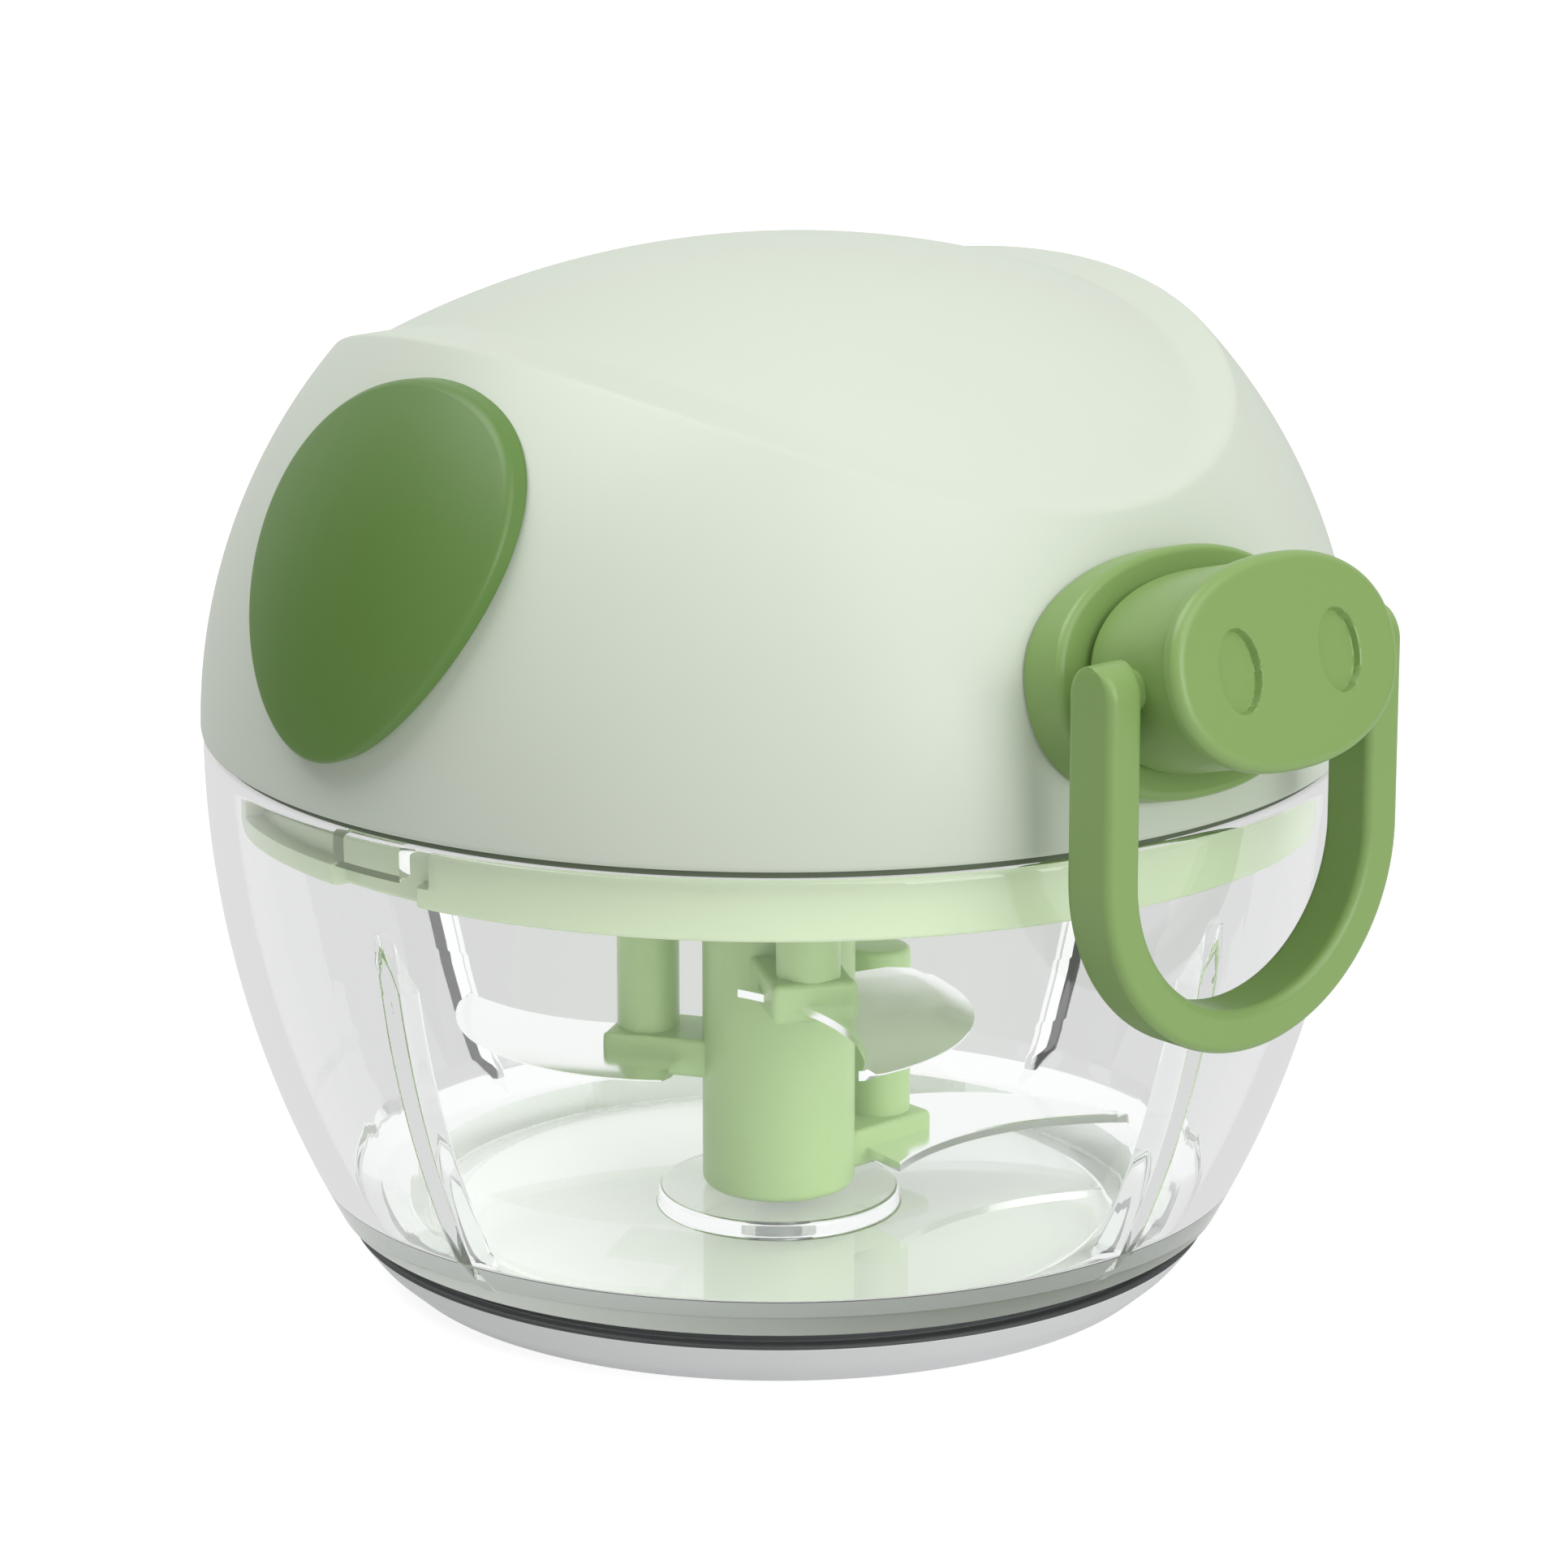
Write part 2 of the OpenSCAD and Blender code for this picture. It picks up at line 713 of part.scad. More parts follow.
module snout_cup() {
  color([0.55, 0.68, 0.39]) difference() {
    on_snout(cup_back) linear_extrude(cup_len) oval(cup_w, cup_hh);
    on_snout(cup_back + cup_floor) linear_extrude(big) oval(cup_w - cup_wall, cup_hh - cup_wall);
    on_snout(0) cylinder(h = big, r = cord_hole_r);
    translate(pivot) rotate([0, 90, 0]) cylinder(h = big, r = stud_r + run, center = true);
  }
}

module snout_cap() {
  color([0.55, 0.68, 0.39]) difference() {
    union() {
      on_snout(cup_front) linear_extrude(cap_t) oval(cup_w + cap_over, cup_hh + cap_over);
      on_snout(cup_front - plug) linear_extrude(plug) oval(cup_w - cup_wall - fit, cup_hh - cup_wall - fit);
    }
    for (s = [-1, 1]) on_snout(cap_front - nostril_d) translate([s * nostril_gap / 2, 0]) rotate(90)
      linear_extrude(big) oval(nostril_h / 2, nostril_w / 2);
  }
}

module cord_knot() {
  color([0.94, 0.94, 0.92]) difference() {
    on_snout(knot_at) sphere(knot_r);
    on_snout(0) cylinder(h = cup_back + cup_floor + fit, r = knot_r);
  }
}

module pull_ring() {
  color([0.55, 0.68, 0.39]) translate(pivot) {
    rotate([90, 0, 0]) linear_extrude(ring_d, center = true) {
      translate([0, -ring_arm]) difference() {
        circle(ring_out);
        circle(ring_in);
        translate([-big / 2, 0]) square(big);
      }
      for (s = [-1, 1]) translate([s * (ring_in + ring_t / 2), -ring_arm / 2])
        square([ring_t, ring_arm], center = true);
    }
    for (s = [-1, 1]) {
      translate([s * (ring_in + ring_t / 2), 0, 0]) rotate([0, 90, 0])
        cylinder(h = ring_t, d = ring_d, center = true);
      translate([s * (ring_in + (ring_t - stud_len) / 2), 0, 0]) rotate([0, 90, 0])
        cylinder(h = ring_t + stud_len, r = stud_r, center = true);
    }
  }
}

bowl();
base_pad();
pivot_pin();
lid_gasket();
lid_shell();
left_ear_pad();
right_ear_pad();
lower_cover();
cord_guide();
guide_clip();
cover_screws();
shaft_bush();
spindle();
cord_run();
spool();
wound_cord();
rewind_spring();
spring_cover();
drive_shaft();
clutch_pawls();
blade_hub();
upper_blade();
middle_blade();
lower_blade();
snout_cup();
snout_cap();
cord_knot();
pull_ring();
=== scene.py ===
import math

import bmesh
import bpy
import numpy as np
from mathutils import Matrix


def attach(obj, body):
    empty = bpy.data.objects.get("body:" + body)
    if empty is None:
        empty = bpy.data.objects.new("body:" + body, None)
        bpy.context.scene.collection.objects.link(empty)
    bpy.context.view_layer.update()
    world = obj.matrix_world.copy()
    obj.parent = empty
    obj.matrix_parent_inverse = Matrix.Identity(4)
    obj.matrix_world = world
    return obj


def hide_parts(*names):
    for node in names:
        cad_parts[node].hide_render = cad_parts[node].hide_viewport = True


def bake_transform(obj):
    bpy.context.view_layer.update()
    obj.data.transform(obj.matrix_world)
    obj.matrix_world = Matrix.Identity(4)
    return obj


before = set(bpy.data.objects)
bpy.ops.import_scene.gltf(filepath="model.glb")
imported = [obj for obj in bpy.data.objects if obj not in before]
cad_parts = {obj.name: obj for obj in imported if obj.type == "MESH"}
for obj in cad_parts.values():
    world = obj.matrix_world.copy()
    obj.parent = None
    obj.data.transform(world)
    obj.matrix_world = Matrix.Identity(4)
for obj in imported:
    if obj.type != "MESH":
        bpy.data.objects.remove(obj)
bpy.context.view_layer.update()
mm = 0.001  # sizes below are in millimetres, meshes in metres
lidZ = 45.6  # lower edge of the lid and centre of its dome


# camera: the photo's three-quarter view from the front left, a little above
camera = {"place": (-0.3149, -0.3623, 0.1693), "turn": (74.91, 0, -41), "lens": 140, "sensor": 36,
          "shift": 0.0031}

cameraData = bpy.data.cameras.new("photoCamera")
cameraData.lens, cameraData.sensor_width = camera["lens"], camera["sensor"]
cameraData.shift_x = camera["shift"]
photoCamera = bpy.data.objects.new("photoCamera", cameraData)
photoCamera.location = camera["place"]
photoCamera.rotation_euler = [math.radians(a) for a in camera["turn"]]
bpy.context.scene.collection.objects.link(photoCamera)
bpy.context.scene.camera = photoCamera
print("camera set")


# quads of a grid of rows and columns, each direction open or joined back to its start
def gridFaces(rows, cols, ringRows, ringCols):
    i, j = np.meshgrid(np.arange(rows - (not ringRows)), np.arange(cols - (not ringCols)), indexing="ij")
    iNext, jNext = (i + 1) % rows, (j + 1) % cols
    quads = [i * cols + j, i * cols + jNext, iNext * cols + jNext, iNext * cols + j]
    return np.stack(quads, axis=-1).reshape(-1, 4)


# grids of points in mm become one closed mesh: doubles merged, faces outwards, bends over sharp degrees crisp
def makePiece(name, grids, material, body, nodes, sharp=38):
    counts = [g[0].shape[0] * g[0].shape[1] for g in grids]
    starts = np.cumsum([0] + counts[:-1])
    points = np.concatenate([g[0].reshape(-1, 3) for g in grids]) * mm
    faces = np.concatenate([gridFaces(*g[0].shape[:2], *g[1:]) + s for g, s in zip(grids, starts)])
    mesh = bpy.data.meshes.new(name)
    mesh.from_pydata(points.tolist(), [], faces.tolist())
    work = bmesh.new()
    work.from_mesh(mesh)
    bmesh.ops.remove_doubles(work, verts=work.verts, dist=2e-6)
    bmesh.ops.recalc_face_normals(work, faces=work.faces)
    work.to_mesh(mesh)
    work.free()
    mesh.shade_smooth()
    mesh.set_sharp_from_angle(angle=math.radians(sharp))
    mesh.materials.append(material)
    piece = bpy.data.objects.new(name, mesh)
    bpy.context.scene.collection.objects.link(piece)
    piece.modifiers.new("evenShading", "WEIGHTED_NORMAL").keep_sharp = True
    if body:
        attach(piece, body)
    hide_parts(*nodes)
    print(name, len(mesh.polygons), "faces")
    return piece


# line through corners with each corner replaced by an arc of its radius that touches both neighbours
def roundedLine(corners, radii, closed=False, steps=7):
    p = np.asarray(corners, float)
    r = np.broadcast_to(np.asarray(radii, float), len(p)).copy()
    if not closed:
        r[[0, -1]] = 0
    before, after = np.roll(p, 1, 0) - p, np.roll(p, -1, 0) - p
    before /= np.linalg.norm(before, axis=1)[:, None]
    after /= np.linalg.norm(after, axis=1)[:, None]
    half = np.arccos(np.clip((before * after).sum(1), -1, 1)) / 2
    half = np.where(np.sin(half) < 1e-6, math.pi / 2, half)
    middle = before + after
    length = np.linalg.norm(middle, axis=1)
    middle = np.where(length[:, None] > 1e-9, middle / np.maximum(length, 1e-9)[:, None], 0)
    centre = p + middle * (r / np.sin(half))[:, None]
    reach = (r / np.tan(half))[:, None]
    first, last = p + before * reach - centre, p + after * reach - centre
    a0 = np.arctan2(first[:, 1], first[:, 0])
    turn = np.arctan2(last[:, 1], last[:, 0]) - a0
    turn = (turn + math.pi) % (2 * math.pi) - math.pi
    a = a0[:, None] + turn[:, None] * np.linspace(0, 1, steps)
    line = (centre[:, None] + r[:, None, None] * np.stack([np.cos(a), np.sin(a)], -1)).reshape(-1, 2)
    keep = np.ones(len(line), bool)
    keep[1:] = np.linalg.norm(np.diff(line, axis=0), axis=1) > 1e-5
    return line[keep]


# profile of (radius, height) turned about the z axis at the given angles
def turned(profile, angles):
    r, z = profile[:, :1], profile[:, 1:]
    return np.stack([r * np.cos(angles), r * np.sin(angles), np.broadcast_to(z, (len(r), len(angles)))], -1)


# turned profile whose radius changes round the circle: one row of radii for each height
def pushedTurn(radii, z, angles):
    return np.stack([radii * np.cos(angles), radii * np.sin(angles), np.broadcast_to(z, radii.shape)], -1)


# soft step from 0 to 1 as x runs from 0 to 1
def softStep(x):
    x = np.clip(x, 0, 1)
    return x * x * (3 - 2 * x)


# 1 where x lies under a limit and 0 over it, changing softly within soft of it on both sides
def under(x, limit, soft):
    return softStep((limit + soft - x) / (2 * soft))


# the same the other way round
def over(x, limit, soft):
    return softStep((x - limit + soft) / (2 * soft))


# lower of two values, with the corner between them rounded over a width k
def softLow(a, b, k):
    h = np.clip(0.5 + 0.5 * (b - a) / k, 0, 1)
    return b + (a - b) * h - k * h * (1 - h)


# angles evenly round the circle
def roundAngles(count):
    return np.linspace(0, 2 * math.pi, count, endpoint=False)


# angles evenly round the circle, with extra ones set close together at the given offsets from given places
def anglesWith(count, places, offsets):
    even = np.linspace(0, 360, count, endpoint=False)
    extra = (np.asarray(places)[:, None] + np.asarray(offsets)[None]).ravel() % 360
    every = np.unique(np.round(np.concatenate([even, extra]), 3))
    return np.radians(every[np.append(np.diff(every) > 0.05, True)])


# signed angle in degrees from the nearest of n places spaced evenly round the circle
def fromNearest(angles, n):
    step = 360 / n
    return (np.degrees(angles) + step / 2) % step - step / 2


# screen colour of 0 to 255 as the linear colour that a shader reads
def srgb(red, green, blue):
    c = np.array([red, green, blue]) / 255
    return (*np.where(c <= 0.04045, c / 12.92, ((c + 0.055) / 1.055) ** 2.4).tolist(), 1.0)


# finishes: shared effects are node groups, and each material places them with its own values; a new group has
# its named sockets and nothing else
def newGroup(name, inputs, outputs):
    group = bpy.data.node_groups.new(name, "ShaderNodeTree")
    for label, kind, value in inputs:
        group.interface.new_socket(label, in_out="INPUT", socket_type=kind).default_value = value
    for label, kind in outputs:
        group.interface.new_socket(label, in_out="OUTPUT", socket_type=kind)
    return group


# node with its settings, and values put into its inputs by name or number
def addNode(tree, kind, values=None, **settings):
    node = tree.nodes.new(kind)
    for key, value in settings.items():
        setattr(node, key, value)
    for key, value in (values or {}).items():
        node.inputs[key].default_value = value
    return node


# moulded plastic: slow clouds vary colour and gloss, a fine grain gives the height
def buildMoulded():
    group = newGroup(
        "mouldedPlastic",
        [("Colour", "NodeSocketColor", (0.5, 0.5, 0.5, 1)),
         ("Shade", "NodeSocketColor", (0.4, 0.4, 0.4, 1)),
         ("Cloud Size", "NodeSocketFloat", 40), ("Grain Size", "NodeSocketFloat", 2500),
         ("Rough", "NodeSocketFloat", 0.3), ("Rough Spread", "NodeSocketFloat", 0.1)],
        [("Colour", "NodeSocketColor"), ("Rough", "NodeSocketFloat"), ("Height", "NodeSocketFloat")])
    link = group.links.new
    given, put = group.nodes.new("NodeGroupInput"), group.nodes.new("NodeGroupOutput")
    place = group.nodes.new("ShaderNodeTexCoord")
    cloud = addNode(group, "ShaderNodeTexNoise", {"Detail": 3, "Roughness": 0.5})
    grain = addNode(group, "ShaderNodeTexNoise", {"Detail": 2, "Roughness": 0.6})
    link(place.outputs["Object"], cloud.inputs["Vector"])
    link(place.outputs["Object"], grain.inputs["Vector"])
    link(given.outputs["Cloud Size"], cloud.inputs["Scale"])
    link(given.outputs["Grain Size"], grain.inputs["Scale"])
    tint = addNode(group, "ShaderNodeMix", data_type="RGBA")
    link(cloud.outputs["Fac"], tint.inputs["Factor"])
    link(given.outputs["Colour"], tint.inputs[6])
    link(given.outputs["Shade"], tint.inputs[7])
    spread = addNode(group, "ShaderNodeMath", operation="MULTIPLY_ADD")
    link(cloud.outputs["Fac"], spread.inputs[0])
    link(given.outputs["Rough Spread"], spread.inputs[1])
    link(given.outputs["Rough"], spread.inputs[2])
    link(tint.outputs[2], put.inputs["Colour"])
    link(spread.outputs[0], put.inputs["Rough"])
    link(grain.outputs["Fac"], put.inputs["Height"])
    return group


# brushed metal: noise drawn out along one way gives fine lines in gloss and height
def buildBrushed():
    group = newGroup(
        "brushedMetal",
        [("Along", "NodeSocketVector", (60, 60, 60)), ("Rough", "NodeSocketFloat", 0.2),
         ("Rough Spread", "NodeSocketFloat", 0.15)],
        [("Rough", "NodeSocketFloat"), ("Height", "NodeSocketFloat"), ("Streak", "NodeSocketFloat")])
    link = group.links.new
    given, put = group.nodes.new("NodeGroupInput"), group.nodes.new("NodeGroupOutput")
    place = group.nodes.new("ShaderNodeTexCoord")
    drawn = addNode(group, "ShaderNodeVectorMath", operation="MULTIPLY")
    streak = addNode(group, "ShaderNodeTexNoise", {"Scale": 1.0, "Detail": 4, "Roughness": 0.6})
    link(place.outputs["Object"], drawn.inputs[0])
    link(given.outputs["Along"], drawn.inputs[1])
    link(drawn.outputs[0], streak.inputs["Vector"])
    spread = addNode(group, "ShaderNodeMath", operation="MULTIPLY_ADD")
    link(streak.outputs["Fac"], spread.inputs[0])
    link(given.outputs["Rough Spread"], spread.inputs[1])
    link(given.outputs["Rough"], spread.inputs[2])
    link(spread.outputs[0], put.inputs["Rough"])
    link(streak.outputs["Fac"], put.inputs["Height"])
    link(streak.outputs["Fac"], put.inputs["Streak"])
    return group


mouldedPlastic, brushedMetal = buildMoulded(), buildBrushed()


# new material and its shader, with plain values set on the shader's own sockets
def newFinish(name, **values):
    material = bpy.data.materials.new(name)
    material.use_nodes = True
    shader = material.node_tree.nodes["Principled BSDF"]
    for key, value in values.items():
        shader.inputs[key.replace("_", " ")].default_value = value
    return material, material.node_tree, shader


# height into the normal, through a bump of the given depth
def bumpInto(tree, shader, height, depth, strength):
    bump = addNode(tree, "ShaderNodeBump", {"Strength": strength, "Distance": depth})
    tree.links.new(height, bump.inputs["Height"])
    tree.links.new(bump.outputs["Normal"], shader.inputs["Normal"])


# plastic in two close tones with its own gloss and grain depth
def plasticFinish(name, colour, shade, rough, spread, grainDepth, grainSize=2500, **values):
    material, tree, shader = newFinish(name, **values)
    moulded = addNode(tree, "ShaderNodeGroup", node_tree=mouldedPlastic)
    for key, value in {"Colour": srgb(*colour), "Shade": srgb(*shade), "Rough": rough,
                       "Rough Spread": spread, "Grain Size": grainSize}.items():
        moulded.inputs[key].default_value = value
    tree.links.new(moulded.outputs["Colour"], shader.inputs["Base Color"])
    tree.links.new(moulded.outputs["Rough"], shader.inputs["Roughness"])
    bumpInto(tree, shader, moulded.outputs["Height"], grainDepth * mm, 0.5)
    return material


# metal with fine lines drawn along one way
def metalFinish(name, colour, rough, spread, along, depth):
    material, tree, shader = newFinish(name, Base_Color=srgb(*colour), Metallic=1.0)
    brushed = addNode(tree, "ShaderNodeGroup", node_tree=brushedMetal)
    brushed.inputs["Along"].default_value = along
    brushed.inputs["Rough"].default_value = rough
    brushed.inputs["Rough Spread"].default_value = spread
    tree.links.new(brushed.outputs["Rough"], shader.inputs["Roughness"])
    bumpInto(tree, shader, brushed.outputs["Height"], depth * mm, 0.4)
    return material


# plastic: main tone, second tone, roughness, its spread, grain depth in mm; metal: tone, roughness, its spread,
# lines per metre along x, y and z, their depth in mm
lidPlastic = plasticFinish("lidPlastic", (212, 220, 206), (206, 215, 199), 0.36, 0.06, 0.006)
earGreen = plasticFinish("earGreen", (98, 134, 64), (91, 127, 57), 0.32, 0.1, 0.012)
snoutGreen = plasticFinish("snoutGreen", (136, 168, 98), (130, 162, 91), 0.3, 0.1, 0.012)
collarGreen = plasticFinish("collarGreen", (178, 192, 162), (170, 185, 152), 0.34, 0.1, 0.012)
hubGreen = plasticFinish("hubGreen", (168, 194, 139), (160, 187, 130), 0.34, 0.1, 0.012)
whitePlastic = plasticFinish("whitePlastic", (226, 228, 222), (218, 221, 214), 0.38, 0.1, 0.015)
acetalPlastic = plasticFinish("acetalPlastic", (205, 178, 110), (196, 168, 100), 0.4, 0.1, 0.015)
# gasket tone: rubber darkened further as painted shade of the gap between lid and bowl
gasketRubberAndShade = plasticFinish("gasketRubberAndShade", (96, 108, 86), (88, 100, 78), 0.5, 0.15, 0.02)
cordYarn = plasticFinish("cordYarn", (236, 236, 230), (214, 214, 206), 0.75, 0.1, 0.15, grainSize=1400)
turnedSteel = metalFinish("turnedSteel", (196, 198, 200), 0.22, 0.12, (40, 40, 3000), 0.004)
springSteel = metalFinish("springSteel", (140, 144, 150), 0.3, 0.12, (300, 300, 2500), 0.004)
bladeSteel = metalFinish("bladeSteel", (250, 251, 250), 0.12, 0.1, (260, 260, 40), 0.003)

clearBowl, clearTree, clearShader = newFinish(
    "clearBowl", Base_Color=(0.985, 0.99, 0.988, 1), Transmission_Weight=1.0, IOR=1.49, Metallic=0.0)
clearSwirl = addNode(clearTree, "ShaderNodeGroup", node_tree=mouldedPlastic)
for key, value in {"Cloud Size": 55, "Grain Size": 90, "Rough": 0.0, "Rough Spread": 0.03}.items():
    clearSwirl.inputs[key].default_value = value
clearTree.links.new(clearSwirl.outputs["Rough"], clearShader.inputs["Roughness"])
clearPath = clearTree.nodes.new("ShaderNodeLightPath")
clearOpen = addNode(clearTree, "ShaderNodeBsdfTransparent", {"Color": (0.975, 0.98, 0.977, 1)})
clearOut = clearShader.outputs[0]
# reflected and shadow rays go straight on: what stands inside is lit, and no ray is trapped in the wall
for ray in ("Is Reflection Ray", "Is Shadow Ray"):
    clearMix = clearTree.nodes.new("ShaderNodeMixShader")
    clearTree.links.new(clearPath.outputs[ray], clearMix.inputs[0])
    clearTree.links.new(clearOut, clearMix.inputs[1])
    clearTree.links.new(clearOpen.outputs[0], clearMix.inputs[2])
    clearOut = clearMix.outputs[0]
clearTree.links.new(clearOut, clearTree.nodes["Material Output"].inputs["Surface"])

# foot: frosted grey band, white where it shows through the bowl's floor, and painted shade on the groove's wall: a
# near-black tone that stands in for the shadow in the groove
footMarks = {"grooveZ": 3.95, "grooveR": 33.9, "floorR": 31.2,
             "grooveShade": (62, 65, 66), "white": (250, 250, 250)}
frostedFoot = plasticFinish("frostedFoot", (228, 229, 230), (219, 221, 222), 0.45, 0.15, 0.05,
                            grainSize=1600)
footTree = frostedFoot.node_tree
footShader = footTree.nodes["Principled BSDF"]
footPlace = footTree.nodes.new("ShaderNodeTexCoord")
footSplit = footTree.nodes.new("ShaderNodeSeparateXYZ")
footFlat = addNode(footTree, "ShaderNodeVectorMath", {1: (1, 1, 0)}, operation="MULTIPLY")
footOut = addNode(footTree, "ShaderNodeVectorMath", operation="LENGTH")
footInside = addNode(footTree, "ShaderNodeMath", {1: footMarks["floorR"] * mm}, operation="LESS_THAN")
footAbove = addNode(footTree, "ShaderNodeMath", {1: footMarks["grooveZ"] * mm}, operation="GREATER_THAN")
footBeyond = addNode(footTree, "ShaderNodeMath", {1: footMarks["grooveR"] * mm}, operation="GREATER_THAN")
footGroove = addNode(footTree, "ShaderNodeMath", operation="MULTIPLY")
footWhite = addNode(footTree, "ShaderNodeMix", {7: srgb(*footMarks["white"])}, data_type="RGBA")
# the groove wall's near-black tone is painted shade, not the foot's own colour
footPaintedShade = addNode(footTree, "ShaderNodeMix", {7: srgb(*footMarks["grooveShade"])}, data_type="RGBA")
footBase = footShader.inputs["Base Color"].links[0].from_socket
for start, end in [(footPlace.outputs["Object"], footSplit.inputs[0]),
                   (footPlace.outputs["Object"], footFlat.inputs[0]),
                   (footFlat.outputs[0], footOut.inputs[0]),
                   (footOut.outputs["Value"], footInside.inputs[0]),
                   (footOut.outputs["Value"], footBeyond.inputs[0]),
                   (footSplit.outputs["Z"], footAbove.inputs[0]),
                   (footAbove.outputs[0], footGroove.inputs[0]),
                   (footBeyond.outputs[0], footGroove.inputs[1]),
                   (footInside.outputs[0], footWhite.inputs["Factor"]),
                   (footGroove.outputs[0], footPaintedShade.inputs["Factor"]),
                   (footBase, footWhite.inputs[6]),
                   (footWhite.outputs[2], footPaintedShade.inputs[6]),
                   (footPaintedShade.outputs[2], footShader.inputs["Base Color"])]:
    footTree.links.new(start, end)
print("finishes made")


# bowl: an outer bowed profile and an inner one, turned, with ribs and lugs pushed in from the inner wall
bowl = {"rimR": 46.6, "rimZ": 45, "bow": 82, "wall": 2.2, "shoulderZ": 5.5, "neckR": 31.0, "underZ": 1.2,
        "floorZ": 4.4, "floorR": 27, "slopeTop": 8.8, "bossR": 10, "bossZ": 5.8, "pinR": 2.03, "pinZ": 2.4,
        "neckRound": 0.4, "shoulderRound": 0.35, "rimRound": 0.6, "ribHalf": 0.7, "ribDepth": 2.4, "ribTop": 37,
        "ribLead": 5, "ribTurn": 7, "ribAtR": 42, "ribFootR": 32.4, "ribFootRun": 3.2, "ribSoft": 0.25,
        "lugTurn": 5, "lugIn": 1.4, "lugLow": 41.7, "lugHigh": 44.1, "lugHalf": 4.39, "lugSoft": 0.15,
        "lugSoftZ": 0.12, "slopeRounds": [0, 0.7, 3, 0.3, 0.4, 0.1, 0, 0], "arcSteps": 9, "rows": 44, "cols": 288}


# radius of the bowed side at height z, moved in by inset: the arc's middle plus the rest of its radius
def sideRadius(z, inset=0.0):
    b = bowl
    return b["rimR"] - b["bow"] + np.sqrt((b["bow"] - inset) ** 2 - (b["rimZ"] - z) ** 2)


# radius of the inner profile, less the depth of rib and lug where the soft window of each is open
def buildBowl():
    b = bowl
    zOut = np.linspace(b["shoulderZ"], b["rimZ"], b["rows"])
    side = np.stack([sideRadius(zOut), zOut], -1)
    neck = [[0, b["underZ"]], [b["neckR"], b["underZ"]], [b["neckR"], b["shoulderZ"]]]
    outerCorners = np.concatenate([neck, side])
    outerRadii = np.zeros(len(outerCorners))
    outerRadii[[1, 3]] = b["neckRound"], b["shoulderRound"]
    outer = roundedLine(outerCorners, outerRadii)[:-1]
    zIn = np.unique(np.concatenate([np.linspace(b["slopeTop"], b["rimZ"] - 0.7, b["rows"]),
                                    b["ribTop"] - np.array([0, b["ribLead"] - 0.1, b["ribLead"]]),
                                    b["lugLow"] + np.linspace(-0.3, 0.3, 5),
                                    b["lugHigh"] + np.linspace(-0.3, 0.3, 5)]))[::-1]
    wall = np.stack([sideRadius(zIn, b["wall"]), zIn], -1)
    rim = roundedLine([side[-2], side[-1], [b["rimR"] - b["wall"], b["rimZ"]], wall[0]],
                      [0, b["rimRound"], b["rimRound"], 0])[1:-1]
    slope = roundedLine([wall[-2], wall[-1], [b["floorR"], b["floorZ"]], [b["bossR"], b["floorZ"]],
                         [b["bossR"], b["bossZ"]], [b["pinR"], b["bossZ"]], [b["pinR"], b["pinZ"]], [0, b["pinZ"]]],
                        b["slopeRounds"], steps=b["arcSteps"])[1:]
    slopeFrom, slopeTo = slope[b["arcSteps"] - 1], slope[b["arcSteps"]]
    straight = slopeFrom + (slopeTo - slopeFrom) * np.linspace(0, 1, 8)[1:-1, None]
    slope = np.concatenate([slope[:b["arcSteps"]], straight, slope[b["arcSteps"]:]])
    inner = np.concatenate([wall[:-1], slope])
    ribDeg = math.degrees(1 / b["ribAtR"])  # angle of 1 mm on the inner wall
    bothWays = np.array([[-1], [1]])
    ribs = bothWays * ribDeg * (b["ribHalf"] + np.linspace(-0.3, 0.3, 5)) + b["ribTurn"]
    lugs = bothWays * (b["lugHalf"] + np.linspace(-0.19, 0.41, 4)) + b["lugTurn"]
    angles = anglesWith(b["cols"], [0, 90, 180, 270], np.concatenate([ribs.ravel(), lugs.ravel()]))
    across = np.abs(fromNearest(angles - math.radians(b["ribTurn"]), 4)) / ribDeg
    rib = under(across, b["ribHalf"], b["ribSoft"])
    r, z = inner[:, :1], inner[:, 1:]
    high = np.clip((b["ribTop"] - z) / b["ribLead"], 0, 1)
    low = np.where(z < b["slopeTop"] - 0.01, softStep((r - b["ribFootR"]) / b["ribFootRun"]), 1.0)
    fromLug = np.abs(fromNearest(angles - math.radians(b["lugTurn"]), 2))
    lug = under(fromLug, b["lugHalf"], b["lugSoft"])
    lugBand = over(z, b["lugLow"], b["lugSoftZ"]) * under(z, b["lugHigh"], b["lugSoftZ"])
    pushed = r - b["ribDepth"] * rib * high * low - b["lugIn"] * lug * lugBand
    grid = np.concatenate([turned(np.concatenate([outer, rim]), angles), pushedTurn(pushed, z, angles)])
    makePiece("bowlClear", [(grid, False, True)], clearBowl, "bowl", ["bowl"])


buildBowl()


# foot under the bowl: turned profile, flared side, groove above it whose wall carries painted shade
foot = {"lowR": 31.6, "swellOut": 2.2, "swellZ": 1.9, "flareR": 35.66, "flareZ": 4.3, "grooveR": 34.4, "topZ": 5.47,
        "neckR": 31.03, "seatZ": 1.17, "rounds": [0, 0.5, 6, 0.3, 0.15, 0.2, 0.2, 0.3, 0], "cols": 192}


# corners with rounded joins, turned about the axis
def buildFoot():
    f = foot
    profile = roundedLine([[0, 0], [f["lowR"], 0], [f["lowR"] + f["swellOut"], f["swellZ"]],
                           [f["flareR"], f["flareZ"]], [f["grooveR"], f["flareZ"]], [f["grooveR"], f["topZ"]],
                           [f["neckR"], f["topZ"]], [f["neckR"], f["seatZ"]], [0, f["seatZ"]]], f["rounds"])
    angles = roundAngles(f["cols"])
    makePiece("footFrosted", [(turned(profile, angles), False, True)], frostedFoot,
              "bowl", ["base_pad"])


buildFoot()


